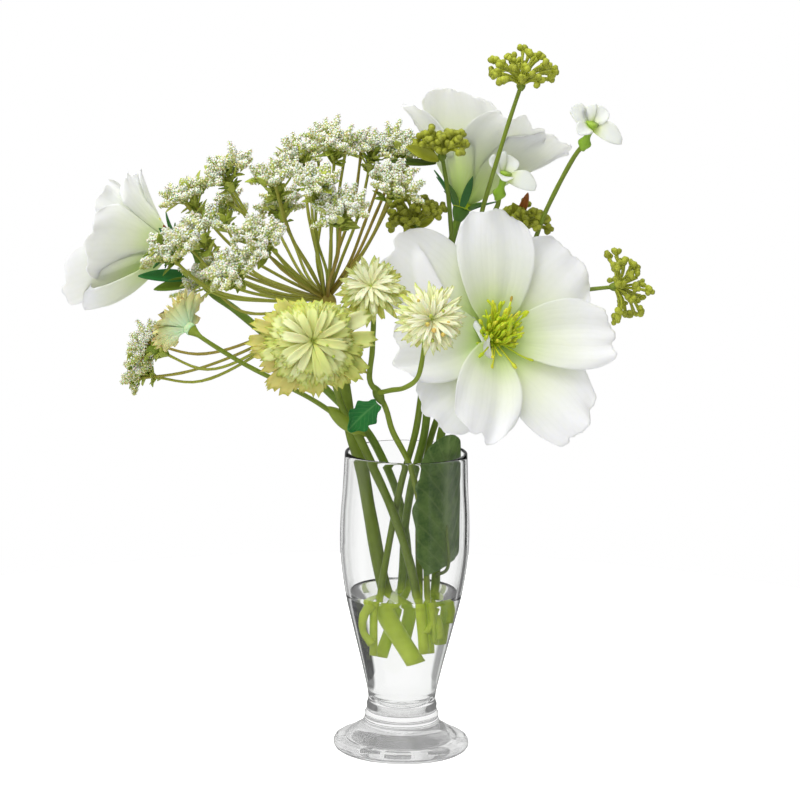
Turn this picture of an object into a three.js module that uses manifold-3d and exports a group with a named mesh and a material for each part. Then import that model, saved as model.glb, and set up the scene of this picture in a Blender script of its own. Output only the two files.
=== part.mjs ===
// A faux wildflower centrepiece standing in a small footed glass of set water.
// Millimetres, +Z up, the viewer looks along +Y, origin at the centre of the foot's underside.
import * as THREE from 'three';
import { mergeVertices } from 'three/addons/utils/BufferGeometryUtils.js';
import Module from 'manifold-3d';

const wasm = await Module();
wasm.setup();

const GAP = 0.3; // clear space between two pieces that touch
const GOLDEN = Math.PI * (3 - Math.sqrt(5)); // turn between neighbours in a natural head
const RAD = Math.PI / 180;

// Footed glass
const GLASS_SIDES = 28;
const FOOT_RADIUS = 34;
const FOOT_THICK = 5.4;
const FOOT_BEVEL = 1.3;
const RIM_HEIGHT = 151;
const WATER_LEVEL = 80;
const GLASS_OUTSIDE = [
  [24.5, 9.6], [20.6, 13], [17.6, 20], [16.9, 27], [19.8, 41], [24.5, 60], [29, 79], [31.8, 99],
  [32, 116], [31, 133], [30.3, RIM_HEIGHT - 1],
];
const GLASS_INSIDE = [
  [28.5, RIM_HEIGHT - 1], [29, 133], [30, 116], [29.7, 99], [26.8, 79], [22, 60], [16.9, 41], [13, 29],
  [8, 22.4], [0, 20],
];
const OUTSIDE_STEPS = 8;
const INSIDE_STEPS = 7;

// Big white blooms: place of the receptacle, direction they face, and how they are spread; `first` is 1 where
// the petals with even numbers lie over their neighbours
const BUTTON_LOW = -1.6;
const BUTTON_TOP = 2.2;
const BUTTON = [[4.4, BUTTON_LOW], [5.2, 0], [4, BUTTON_TOP]];
const STAMEN = { core: 3, lowest: -0.3, radius: 0.5, anther: 0.95 };
const SEPAL = { count: 5, foot: 2.6, length: 15, half: 2.1, thick: 0.7 };
const PETAL = { thick: 0.8, root: 3, along: 4, across: 4, wrap: 0.72 };
const BLOOM_FRONT = {
  base: [41.2, 2, 208.1], faces: [0.44, -0.82, 0.37], length: 61, width: 43, lift: 15, droop: 0.3,
  turns: [1, 38, 88, 138, 182, 223, 250, 316], reach: [0.99, 0.97, 1, 1.03, 0.97, 0.96, 0.9, 1],
  seed: 11, first: 1, lean: 0.8, stamenLength: 18,
};
const BLOOM_BACK = {
  base: [26.4, 58, 266.6], faces: [0.3, 0.2, 0.93], length: 68, width: 40, lift: 48, droop: 0.1, seed: 37,
  turns: [20, 65, 108, 155, 198, 243, 288, 332], reach: [1, 1, 1, 1, 1, 1, 1, 1],
  first: 0, lean: 1.3, stamenLength: 18,
};
const BLOOM_LEFT = {
  base: [-118.7, 35, 247], faces: [-0.95, 0.14, 0.15], length: 55.5, width: 36, lift: 48, droop: 0.1,
  turns: [12, 58, 101, 150, 195, 238, 280, 325], reach: [1.04, 0.86, 0.84, 0.9, 0.95, 1, 1.04, 1.08],
  seed: 61, first: 0, lean: 1.3, stamenLength: 15,
};

// Pincushion heads: `count` straps in each tier, and for each tier its reach as a share of the radius
// and its degrees above the plane of the head
const STRAP_THICK = 0.9;
const STRAP_SHARE = 0.36; // widest half strap, as a share of the room between two tips
const HEAD_A = {
  base: [-46, -52, 214], faces: [0.08, -0.98, 0.16], radius: 31, strap: 7.2, count: 14, seed: 3,
  tiers: [[1, 2], [0.93, 20], [0.84, 38], [0.76, 56], [0.7, 74]],
};
const HEAD_C = {
  base: [-17.6, -28, 234.5], faces: [-0.1, -0.9, 0.42], radius: 18.5, strap: 5.2, count: 11, seed: 5,
  tiers: [[1, 8], [0.94, 30], [0.86, 52], [0.8, 72]],
};
const HEAD_D = {
  base: [9.4, -60, 225.8], faces: [0.12, -0.96, 0.22], radius: 19.5, strap: 4.4, count: 12, seed: 8,
  tiers: [[1, 6], [0.92, 29], [0.84, 52], [0.76, 72]],
};
const HEAD_E = {
  base: [-104, -32, 215], faces: [-0.72, 0.45, 0.45], radius: 22, strap: 6, count: 11, seed: 13,
  tiers: [[1, 28], [0.9, 44], [0.66, 62]],
};

// Lace umbel: hub on its thick stem, and the foot of each white umbellet
const LACE_HUB = [-40.7, 5, 225.6];
const LACE_ENDS = [
  [-116, 0, 245], [-99, -16, 253], [-99, 16, 230], [-105, 8, 270], [-88, -6, 283], [-93, 44, 257],
  [-64, -20, 281], [-53, 18, 290], [-37, -12, 298], [-45, -40, 282], [-33, -44, 270], [-20, 14, 292],
  [-6, 20, 294], [-10, -14, 280], [-64, 44, 262], [-69, -38, 255], [-123, 12, 197], [-129, 26, 182],
  [-82, -40, 241],
];
const UMBELLET = { core: 5, reach: 12.6, spikeRadius: 3.5, lowest: -0.3 };

// Stems from their cut ends in the water up to what they carry
const LACE_STEM = [
  [4.8, 2, 45.6], [-9.3, 2, 80], [-17.5, 1.5, 119], [-22.8, 1, 146], [-26.9, 1, 158.6], [-33.5, 4, 195],
  LACE_HUB,
];
const LEFT_HEADS_STEM = [
  [9, -8, 52], [5.5, -9, 85], [-4.4, -11, 118.7], [-17.7, -14, 149.2], [-24.7, -15, 164],
];
const RIGHT_HEADS_STEM = [
  [13, -5, 57], [11.5, -12, 82.2], [8.9, -15, 115.8], [1.9, -17, 147.2], [-7.1, -18, 165.1],
  [-10.2, -19, 175.7], [-14.2, -22, 184],
];
const LEFT_HEADS_FORKS = [
  { way: [[-24.7, -15, 164], [-31, -19, 175], [-37, -33, 196]], bloom: HEAD_A, radius: 1.5 },
  {
    way: [[-24.7, -15, 164], [-43.3, -20, 178.2], [-60.2, -25, 188.2], [-80, -29, 199]],
    bloom: HEAD_E, radius: 1.1,
  },
];
const LEFT_HEADS_KNOTS = [
  { place: [-29.5, -16.4, 168.6], faces: [-0.75, -0.2, 0.6], radius: 4.2, length: 24 },
];
const RIGHT_HEADS_FORKS = [
  { way: [[-14.2, -22, 184], [-18.2, -23, 190], [-17.3, -24, 205]], bloom: HEAD_C, radius: 1.2 },
  { way: [[-14.2, -22, 184], [-8, -33, 187.5], [-1, -44, 191], [5, -52, 198]], bloom: HEAD_D, radius: 1.1 },
];
const RIGHT_HEADS_KNOTS = [
  { place: [-14, -21.6, 183], faces: [-0.4, -0.1, 0.9], radius: 2.6, length: 12 },
];
const LEFT_BLOOM_STEM = [
  [0, 14, 54], [2.5, 16, 80], [-2, 16.5, 118.8], [-13.4, 11, 148.2], [-20.6, 9.5, 160.2], [-31, 13, 170],
  [-53.6, 20, 190], [-86.2, 29, 215.6], [-101, 33, 226],
];
const BACK_BLOOM_STEM = [
  [-7, 7, 48], [-1, 8, 82.7], [0.1, 9, 110.7], [3.2, 10, 132.4], [9.2, 12, 159.6], [11, 24, 190],
  [17, 46, 230],
];
const FRONT_BLOOM_STEM = [
  [13.5, 3, 55], [16, 4, 85], [16, 5, 110], [16, 6.5, 134], [17.5, 8, 160], [25, 14, 180],
];
const SPRAY_A_STEM = [
  [-12, -6, 50], [-11.3, -6, 80.3], [-7.7, -6, 105.3], [-2.3, -6, 135.7], [4.6, -4, 162.6],
  [8.5, 4, 192], [14, 15, 216], [22, 19, 238],
];
const SPRAY_B_STEM = [
  [8, 9, 50], [8, 10, 80], [7, 12.5, 110], [8.7, 14, 134.5], [13.5, 17, 159.3], [26, 28, 186],
  [43, 35, 214], [56, 36, 236],
];

// Small green umbels: hub, direction, spread radius, how low the rays start, and the branch of each
const BUD = { ray: 0.65, radius: 2.5, length: 4.6, core: 2, lean: 0.12 };
const SPRAY_A_UMBELS = [
  {
    hub: [52.4, 2, 332], faces: [0.08, 0, 1], radius: 19, lowest: -0.3,
    from: [[22, 19, 238], [32.5, 21.5, 258], [36.5, 16.6, 274], [41, 4, 293], [47, 0, 315]],
  },
  {
    hub: [14.9, 4, 297], faces: [0, -0.1, 1], radius: 13, lowest: 0,
    from: [[22, 19, 238], [20, 14, 262], [18, 8, 280]],
  },
  {
    hub: [3, 14, 262], faces: [-0.3, -0.1, 0.95], radius: 17, lowest: 0,
    from: [[14, 15, 216], [10, 16, 240]],
  },
];
const SPRAY_B_UMBELS = [
  {
    hub: [102.6, 34, 230], faces: [0.95, 0, 0.1], radius: 20, lowest: -0.3,
    from: [[43, 35, 214], [66, 40, 221], [86, 38, 227]],
  },
  {
    hub: [55, 33, 258], faces: [0.05, 0.05, 1], radius: 15, lowest: 0,
    from: [[56, 36, 236], [55, 35, 247]],
  },
];

const SPRAY_A_KNOTS = [
  { place: [22, 19, 238], faces: [0.35, 0.1, 0.93], radius: 2.6, length: 11 },
  { place: [14, 15, 216], faces: [0.3, 0.2, 0.93], radius: 2.3, length: 10 },
];
const SPRAY_B_KNOTS = [
  { place: [56, 36, 236], faces: [0.35, 0, 0.93], radius: 2.6, length: 11 },
  { place: [43, 35, 214], faces: [0.5, 0.1, 0.8], radius: 2.3, length: 10 },
];

// Small white stars: crown, direction, petals, and the branch below the bulb
const STAR_PETAL = { half: 2.9, thick: 0.7, foot: 0.8, rise: 1.3 };
const STAR_RIGHT = {
  crown: [86.6, 6, 311], faces: [0.3, -0.3, 0.9], length: 15, petals: 5, seed: 21,
  from: [[56, 36, 236], [62, 29, 253], [67, 22, 269], [80, 10, 298]],
};
const STAR_MIDDLE = {
  crown: [45.5, 16, 285], faces: [0.25, -0.2, 0.95], length: 16, petals: 5, seed: 27,
  from: [[22, 19, 238], [34, 22, 256], [43, 18, 272]],
};

// Leaves
const VASE_LEAF = {
  radius: 27, middle: -38, half: 36, low: 94, high: 163, bow: 1.6, thick: 0.8, stalkFoot: [16.4, 1.6, 88],
};
const SMALL_LEAF = {
  base: [-14.6, -23.8, 179.5], tip: [-28.4, -31, 167], width: 13, thick: 0.7, side: [0.25, -1, 0],
};

const COLOURS = {
  glass: [0xf4f7f6, 0.05], water: [0xf2f6f2, 0.03], petal: [0xf0f1ec, 0.55], stamen: [0xaabe28, 0.6],
  bloomStem: [0x5f7a32, 0.55], cream: [0xdee4af, 0.6], creamStem: [0x789632, 0.55], lace: [0xebeee1, 0.8],
  laceStem: [0x6e732d, 0.6], spray: [0x9aa03a, 0.6], star: [0xf2f3ea, 0.5], darkLeaf: [0x3c552d, 0.5],
  freshLeaf: [0x1e783c, 0.5],
};

const point = (p) => new THREE.Vector3(...p);
const mix = (a, b, t) => a + (b - a) * t;

// Seeded draw between 0 and 1
function noise(n) {
  const s = Math.sin(n * 12.9898) * 43758.5453;
  return s - Math.floor(s);
}

// A seat for a round thing: its origin and three unit directions, with `axis` the way it faces
function seat(origin, faces) {
  const axis = point(faces).normalize();
  const right = new THREE.Vector3(-axis.y, axis.x, 0).normalize();
  return { origin: point(origin), axis, right, up: axis.clone().cross(right) };
}

function at(place, x, y, h) {
  return place.origin.clone().addScaledVector(place.right, x).addScaledVector(place.up, y)
    .addScaledVector(place.axis, h);
}

// Place at `out` along a spoke that leaves the axis at `angle`, `side` to its left and `rise` up the axis
function spoke(place, angle, out, side, rise) {
  const [c, s] = [Math.cos(angle), Math.sin(angle)];
  return at(place, out * c - side * s, out * s + side * c, rise);
}

// Closed solid from a three.js geometry, turned face outwards
function solid(geometry) {
  const bare = new THREE.BufferGeometry();
  bare.setAttribute('position', geometry.getAttribute('position'));
  bare.setIndex(geometry.index);
  const merged = mergeVertices(bare, 1e-4);
  const p = merged.getAttribute('position');
  const corner = (i) => new THREE.Vector3().fromBufferAttribute(p, i);
  let faces = [];
  let volume = 0;
  for (let i = 0; i < merged.index.count; i += 3) {
    const [a, b, c] = [0, 1, 2].map((k) => merged.index.getX(i + k));
    if (a === b || b === c || a === c) continue;
    faces.push([a, b, c]);
    volume += corner(a).dot(corner(b).cross(corner(c)));
  }
  if (volume < 0) faces = faces.map(([a, b, c]) => [a, c, b]);
  return new wasm.Manifold(new wasm.Mesh({
    numProp: 3, vertProperties: Float32Array.from(p.array), triVerts: Uint32Array.from(faces.flat()),
  }));
}

// One body from many: hollows that the joining seals are filled and loose scraps dropped
function fuse(solids) {
  const bodies = wasm.Manifold.union(solids).decompose();
  return bodies.reduce((most, body) => (body.volume() > most.volume() ? body : most)).simplify(0.03);
}

function indexed(places, faces) {
  const geometry = new THREE.BufferGeometry().setFromPoints(places);
  geometry.setIndex(faces);
  return geometry;
}

// Closed solid through a row of rings with equal numbers of points; a ring of one point is a tip
function skin(rings) {
  const starts = [];
  const places = [];
  for (const ring of rings) {
    starts.push(places.length);
    places.push(...ring);
  }
  const faces = [];
  const cap = (ring, start, turned) => {
    for (let k = 1; k < ring.length - 1; k += 1) {
      faces.push(...(turned ? [start, start + k + 1, start + k] : [start, start + k, start + k + 1]));
    }
  };
  cap(rings[0], starts[0], true);
  for (let i = 0; i < rings.length - 1; i += 1) {
    const [low, high] = [rings[i].length, rings[i + 1].length];
    const count = Math.max(low, high);
    for (let k = 0; k < count; k += 1) {
      const [a, b] = [starts[i] + (k % low), starts[i] + ((k + 1) % low)];
      const [c, d] = [starts[i + 1] + (k % high), starts[i + 1] + ((k + 1) % high)];
      if (low > 1) faces.push(a, b, d);
      if (high > 1) faces.push(a, d, c);
    }
  }
  cap(rings.at(-1), starts.at(-1), false);
  return solid(indexed(places, faces));
}

// Turned solid: [radius, height along the axis] pairs, with every second ring turned half a side
function turned(place, profile, sides, stagger = 0) {
  return skin(profile.map(([radius, h], i) => {
    if (radius === 0) return [at(place, 0, 0, h)];
    return Array.from({ length: sides }, (_, k) => {
      const angle = 2 * Math.PI * (k + stagger * (i % 2)) / sides;
      return at(place, radius * Math.cos(angle), radius * Math.sin(angle), h);
    });
  }));
}

// Stem along a smooth curve, tapering from the first radius to the second; `grow` widens it for a hole
function stalk(path, radii, sides, steps, grow = 0) {
  const places = path.map((p) => (p.isVector3 ? p : point(p)));
  const curve = new THREE.CatmullRomCurve3(places, false, 'centripetal');
  const frames = curve.computeFrenetFrames(steps, false);
  const rings = [];
  for (let i = 0; i <= steps; i += 1) {
    const middle = curve.getPointAt(i / steps);
    if (i === 0) middle.addScaledVector(frames.tangents[0], -grow);
    const radius = mix(radii[0], radii[1], i / steps) + grow;
    rings.push(Array.from({ length: sides }, (_, k) => {
      const angle = 2 * Math.PI * k / sides;
      return middle.clone().addScaledVector(frames.normals[i], radius * Math.cos(angle))
        .addScaledVector(frames.binormals[i], radius * Math.sin(angle));
    }));
  }
  return skin(rings);
}

// Thin blade: shape(u, v) gives its middle surface for u from 0 to 1 along and v from -1 to 1 across
function blade(shape, along, across, thick) {
  const places = [];
  const small = 0.01;
  for (const side of [-1, 1]) {
    for (let i = 0; i <= along; i += 1) {
      for (let j = 0; j <= across; j += 1) {
        const [u, v] = [i / along, 2 * j / across - 1];
        const [u0, v0] = [Math.min(u, 1 - small), Math.min(v, 1 - small)];
        const corner = shape(u0, v0);
        const [along1, across1] = [shape(u0 + small, v0).sub(corner), shape(u0, v0 + small).sub(corner)];
        places.push(shape(u, v).addScaledVector(along1.cross(across1).normalize(), side * thick / 2));
      }
    }
  }
  const row = across + 1;
  const back = (along + 1) * row;
  const faces = [];
  for (let i = 0; i < along; i += 1) {
    for (let j = 0; j < across; j += 1) {
      const [a, b, c, d] = [i * row + j, i * row + j + 1, (i + 1) * row + j, (i + 1) * row + j + 1];
      faces.push(a, b, d, a, d, c, back + a, back + d, back + b, back + a, back + c, back + d);
    }
  }
  const rim = [];
  for (let j = 0; j < across; j += 1) rim.push([j + 1, j]);
  for (let i = 0; i < along; i += 1) rim.push([i * row, (i + 1) * row]);
  for (let j = 0; j < across; j += 1) rim.push([along * row + j, along * row + j + 1]);
  for (let i = along; i > 0; i -= 1) rim.push([i * row + across, (i - 1) * row + across]);
  for (const [a, b] of rim) faces.push(a, b, back + b, a, back + b, back + a);
  return solid(indexed(places, faces));
}

// Glass: foot disc, short neck and swelling bowl, one wall turned round the axis
function glass() {
  const outside = new THREE.SplineCurve(GLASS_OUTSIDE.map(([r, z]) => new THREE.Vector2(r, z)));
  const profile = [
    new THREE.Vector2(0, 0),
    new THREE.Vector2(FOOT_RADIUS - FOOT_BEVEL, 0),
    new THREE.Vector2(FOOT_RADIUS, FOOT_BEVEL),
    new THREE.Vector2(FOOT_RADIUS, FOOT_THICK - FOOT_BEVEL),
    new THREE.Vector2(FOOT_RADIUS - FOOT_BEVEL, FOOT_THICK),
    ...outside.getPoints(OUTSIDE_STEPS),
    new THREE.Vector2((GLASS_OUTSIDE.at(-1)[0] + GLASS_INSIDE[0][0]) / 2, RIM_HEIGHT),
    ...insideWall(),
  ];
  return lathe(profile);
}

// Points down the inside of the glass, from the rim to the middle of the floor
function insideWall() {
  const inside = new THREE.SplineCurve(GLASS_INSIDE.map(([r, z]) => new THREE.Vector2(r, z)));
  return inside.getPoints(INSIDE_STEPS);
}

// Outline of radii and heights turned round the Z axis
function lathe(profile) {
  const outline = profile.map((p) => new THREE.Vector2(Math.abs(p.x) < 0.05 ? 0 : p.x, p.y));
  return solid(new THREE.LatheGeometry(outline, GLASS_SIDES).rotateX(Math.PI / 2));
}

// Water: the glass's inside up to the level, with a plain hole for each stem
function water(holes) {
  const inside = insideWall();
  const first = inside.findIndex((p) => p.y < WATER_LEVEL);
  const [above, below] = [inside[first - 1], inside[first]];
  const edge = above.clone().lerp(below, (above.y - WATER_LEVEL) / (above.y - below.y));
  const wall = [edge, ...inside.slice(first)].map((p) => new THREE.Vector2(Math.max(p.x - GAP, 0), p.y));
  wall.slice(1).forEach((p) => { p.y += GAP; });
  return lathe([new THREE.Vector2(0, WATER_LEVEL), ...wall]).subtract(wasm.Manifold.union(holes));
}

// White bloom's petals: broad, pleated, with notched tips, in two layers round a small button
function bloomPetals(bloom) {
  const place = seat(bloom.base, bloom.faces);
  const button = turned(place, BUTTON, 9);
  const petals = bloom.turns.map((turn, i) => {
    const [a, b, c, d] = [1, 2, 3, 4].map((k) => noise(bloom.seed + 7 * i + k));
    const angle = turn * RAD;
    const length = bloom.length * bloom.reach[i];
    const lift = (bloom.lift + 5 * (a - 0.5)) * RAD;
    const upper = (i + bloom.first) % 2;
    const half = (u) => bloom.width / 2 * (0.08 + 0.92 * Math.sin(Math.PI * u / 1.45) ** 1.1);
    const shape = (u, v) => {
      const tooth = 2 * Math.sin(Math.PI * v) ** 2 - 1;
      const layer = upper ? 1.2 + 2.6 * Math.sin(Math.PI * u / 2) : 0;
      const pleats = 0.7 * Math.cos(2 * Math.PI * v) * u;
      const wave = mix(0.6, 1.8, b) * Math.sin(6 * c + 1.7 * Math.PI * v) * u * u;
      const off = layer + pleats + wave + (d - 0.5) * 0.12 * v * half(u) * u;
      const along = length * u * (1 - 0.05 * v * v * u) + 0.03 * length * tooth * u ** 6;
      const out = PETAL.root + along * Math.cos(lift) - off * Math.sin(lift);
      const rise = Math.sin(lift) * (along - bloom.droop * length * u ** 3) + off * Math.cos(lift);
      const swing = angle + Math.min(half(u) / Math.max(out, PETAL.root), PETAL.wrap) * v;
      return at(place, out * Math.cos(swing), out * Math.sin(swing), rise);
    };
    return blade(shape, PETAL.along, PETAL.across, PETAL.thick);
  });
  return fuse([button, ...petals]);
}

// Stamens drawn out of a small core that stands on the button
function bloomCentre(bloom) {
  const middle = at(seat(bloom.base, bloom.faces), 0, 0, BUTTON_TOP + GAP + STAMEN.core);
  const rings = (i) => {
    const length = bloom.stamenLength * mix(0.65, 1.1, noise(bloom.seed + 90 + i));
    return [[STAMEN.radius, 0.75 * length], [STAMEN.anther, 0.9 * length], [0, length]];
  };
  return burst(seat(middle.toArray(), bloom.faces), STAMEN.core, STAMEN.lowest, bloom.lean, rings);
}

// Route, radii, sides and steps of a bloom's stem, up into its calyx
function bloomStalk(bloom, path, radius) {
  const place = seat(bloom.base, bloom.faces);
  const low = BUTTON_LOW - GAP;
  return [[...path, at(place, 0, 0, low - 9), at(place, 0, 0, low - 2)], [radius * 1.1, radius], 6, 12];
}

// Stem of a bloom with its cupped calyx and narrow sepals behind the petals
function bloomStem(bloom, path, radius) {
  const place = seat(bloom.base, bloom.faces);
  const low = BUTTON_LOW - GAP;
  const cup = turned(place, [[radius, low - 6], [3.6, low - 3.4], [4.2, low]], 8);
  const sepals = Array.from({ length: SEPAL.count }, (_, i) => {
    const angle = (i + noise(bloom.seed + 40 + i) * 0.5) * 2 * Math.PI / SEPAL.count;
    const shape = (u, v) => {
      const out = SEPAL.foot + SEPAL.length * u;
      const side = SEPAL.half * Math.sin(Math.PI * (0.16 + 0.8 * u)) * v;
      const rise = low - 1 + (3 * Math.sin(bloom.lift * RAD) - 2.4) * u;
      return spoke(place, angle, out, side, rise);
    };
    return blade(shape, 2, 1, SEPAL.thick);
  });
  return fuse([cup, stalk(...bloomStalk(bloom, path, radius)), ...sepals]);
}

// Icosahedron standing on a corner, with one thin spike drawn out of each face that looks higher than
// `lowest`. `lean` turns the spikes towards the axis, and rings(i) gives the [radius, distance from the
// centre] of each ring of a spike
function burst(place, core, lowest, lean, rings) {
  const trios = icosahedron(place.axis);
  const places = [];
  const known = new Map();
  const keep = (p) => places.push(place.origin.clone().add(p)) - 1;
  const corner = (p) => {
    const key = p.toArray().map((q) => Math.round(q * 50)).join();
    if (!known.has(key)) known.set(key, keep(p.clone().multiplyScalar(core)));
    return known.get(key);
  };
  const faces = [];
  trios.forEach((trio, i) => {
    const middle = trio[0].clone().add(trio[1]).add(trio[2]).divideScalar(3);
    let ring = trio.map(corner);
    if (middle.clone().normalize().dot(place.axis) < lowest) {
      faces.push(...ring);
      return;
    }
    const way = middle.clone().normalize().addScaledVector(place.axis, lean).normalize();
    for (const [radius, reach] of rings(i)) {
      const centre = way.clone().multiplyScalar(reach);
      const around = (p) => centre.clone().addScaledVector(p.clone().sub(middle).normalize(), radius);
      const next = radius === 0 ? [keep(centre)] : trio.map((p) => keep(around(p)));
      ring.forEach((a, k) => {
        const b = ring[(k + 1) % 3];
        faces.push(a, b, next[(k + 1) % next.length]);
        if (next.length > 1) faces.push(a, next[(k + 1) % 3], next[k]);
      });
      ring = next;
    }
  });
  return solid(indexed(places, faces));
}

// Corner directions of an icosahedron's faces, with one corner straight against `axis`, turned by `spin`
function icosahedron(axis, spin = 0) {
  const ball = new THREE.IcosahedronGeometry(1, 0).getAttribute('position');
  const corner = (i) => new THREE.Vector3().fromBufferAttribute(ball, i).normalize();
  const turn = new THREE.Quaternion().setFromUnitVectors(corner(0), axis.clone().negate())
    .premultiply(new THREE.Quaternion().setFromAxisAngle(axis, spin));
  const trios = [];
  for (let i = 0; i < ball.count; i += 3) {
    trios.push([0, 1, 2].map((k) => corner(i + k).applyQuaternion(turn)));
  }
  return trios;
}

// Pincushion head: tiers of channelled straps with notched ends, each drawn out of one cell of a domed
// core, with neighbouring tiers turned by half a cell
function head(bloom) {
  const place = seat(bloom.base, bloom.faces);
  const { radius, count, tiers } = bloom;
  const places = [];
  const faces = [];
  const keep = (p) => places.push(p) - 1;
  const span = Math.PI / count;
  const rows = Array.from({ length: tiers.length + 1 }, (_, j) => {
    const climb = j / tiers.length;
    const out = radius * mix(0.38, 0.1, climb ** 1.3);
    const h = radius * mix(0.06, 0.42, Math.sin(climb * Math.PI / 2));
    return Array.from({ length: 2 * count }, (__, k) => keep(spoke(place, (k + j) * span, out, 0, h)));
  });
  const wall = (a, b, c, d) => faces.push(a, b, c, a, c, d);
  tiers.forEach(([reach, above], j) => {
    for (let i = 0; i < count; i += 1) {
      const [low, high] = [rows[j], rows[j + 1]];
      const cell = [low[2 * i], low[2 * i + 1], low[(2 * i + 2) % (2 * count)],
        high[(2 * i + 2) % (2 * count)], high[2 * i + 1], high[2 * i]];
      const wobble = noise(bloom.seed + 31 * j + i);
      const turn = (2 * i + 1.5 + j + 0.35 * (wobble - 0.5)) * span;
      const climb = (above + 7 * (noise(bloom.seed + 5 * j + 3 * i) - 0.5)) * RAD;
      const length = radius * reach * mix(0.94, 1.04, noise(bloom.seed + 57 + 13 * j + i));
      const room = 2 * span * length * Math.cos(climb);
      const half = Math.min(bloom.strap / 2 * mix(1, 0.6, j / tiers.length), STRAP_SHARE * room);
      const tip = [[-1, -1], [0, -1], [1, -1], [1, 1], [0, 1], [-1, 1]].map(([v, w]) => {
        const along = length - (1 - v * v) * 0.08 * radius;
        const off = STRAP_THICK / 2 * w;
        const out = along * Math.cos(climb) - off * Math.sin(climb);
        const rise = along * Math.sin(climb) + off * Math.cos(climb) + 0.16 * radius + 1.1 * v * v;
        return keep(spoke(place, turn, out, half * v, rise));
      });
      cell.forEach((a, k) => wall(a, cell[(k + 1) % 6], tip[(k + 1) % 6], tip[k]));
      wall(tip[0], tip[1], tip[4], tip[5]);
      wall(tip[1], tip[2], tip[3], tip[4]);
    }
  });
  const [top, bottom] = [keep(at(place, 0, 0, 0.46 * radius)), keep(at(place, 0, 0, 0))];
  for (let k = 0; k < 2 * count; k += 1) {
    const next = (k + 1) % (2 * count);
    faces.push(rows.at(-1)[k], rows.at(-1)[next], top, rows[0][next], rows[0][k], bottom);
  }
  return solid(indexed(places, faces));
}

// White umbellet: bulging spikes of florets drawn out of a small round core, one over each corner of an
// icosahedron that stands on a corner; the lowest corners stay plain
function umbellet(foot, index) {
  const away = point(foot).sub(point(LACE_HUB)).normalize();
  const place = seat(foot, umbelletFaces(away));
  const centre = at(place, 0, 0, UMBELLET.core);
  const known = new Map();
  const places = [];
  const keep = (p, radius) => {
    const key = `${p.toArray().map((q) => Math.round(q * 50)).join()} ${radius === UMBELLET.core}`;
    if (!known.has(key)) known.set(key, places.push(centre.clone().addScaledVector(p, radius)) - 1);
    return known.get(key);
  };
  const faces = [];
  for (const trio of icosahedron(place.axis, index * GOLDEN)) {
    const middles = trio.map((p, k) => p.clone().add(trio[(k + 1) % 3]).normalize());
    const [ab, bc, ca] = middles.map((p) => keep(p, UMBELLET.core));
    faces.push(ab, bc, ca);
    trio.forEach((p, k) => {
      const [here, before] = [middles[k], middles[(k + 2) % 3]];
      const [a, b] = [keep(here, UMBELLET.core), keep(before, UMBELLET.core)];
      if (p.dot(place.axis) < UMBELLET.lowest) {
        faces.push(keep(p, UMBELLET.core), a, b);
        return;
      }
      const draw = noise(index * 17 + Math.round(7 * p.x) + Math.round(9 * p.y));
      const long = UMBELLET.reach * mix(0.82, 1.12, draw);
      const bulge = (side) => {
        const outward = side.clone().addScaledVector(p, -side.dot(p)).normalize();
        const belly = p.clone().multiplyScalar(0.62 * long);
        return keep(belly.addScaledVector(outward, UMBELLET.spikeRadius), 1);
      };
      const [c, d, tip] = [bulge(here), bulge(before), keep(p.clone().multiplyScalar(long), 1)];
      faces.push(a, b, d, a, d, c, c, d, tip);
    });
  }
  return solid(indexed(places, faces));
}

// Way an umbellet faces: along its ray, tipped upwards
function umbelletFaces(away) {
  return [away.x * 0.7, away.y * 0.7, away.z * 0.7 + 0.5];
}

// Thick lace stem, its swollen hub and a curved ray to each umbellet
function laceStem() {
  const hub = turned(seat(LACE_HUB, [-0.35, 0, 0.94]), [[3, -5], [4.6, 0], [2.4, 3.4]], 8);
  const rays = LACE_ENDS.map((foot) => {
    const [from, to] = [point(LACE_HUB), point(foot)];
    const away = to.clone().sub(from).normalize();
    const end = to.clone().addScaledVector(point(umbelletFaces(away)).normalize(), -GAP);
    const sag = new THREE.Vector3(away.x * 3, away.y * 3, -0.07 * from.distanceTo(to));
    return stalk([from, from.clone().lerp(to, 0.5).add(sag), end], [1.2, 0.9], 3, 3);
  });
  return fuse([hub, stalk(...STALKS.lace), ...rays]);
}

// Small green umbel: buds on thin rays drawn out of a small hub
function greenUmbel({ hub, faces, radius, lowest, from }) {
  const place = seat(hub, faces);
  const rings = (i) => {
    const length = radius * mix(0.76, 1.04, noise(hub[2] + 3 * i));
    return [[BUD.ray, length - BUD.length], [BUD.radius, length - BUD.length / 2], [0, length]];
  };
  const branch = stalk([...from, hub], [1.25, 1.1], 5, 2 * from.length - 1);
  return [branch, burst(place, BUD.core, lowest, BUD.lean, rings)];
}

// Branch of a star flower with the bulb below its crown
function starBranch(star) {
  const place = seat(star.crown, star.faces);
  return [stalk([...star.from, at(place, 0, 0, -8)], [1.2, 1.2], 5, 2 * star.from.length - 1),
    turned(place, [[1.4, -11], [3.1, -7.5], [2.7, -4.5], [1.5, -GAP]], 6)];
}

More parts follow.
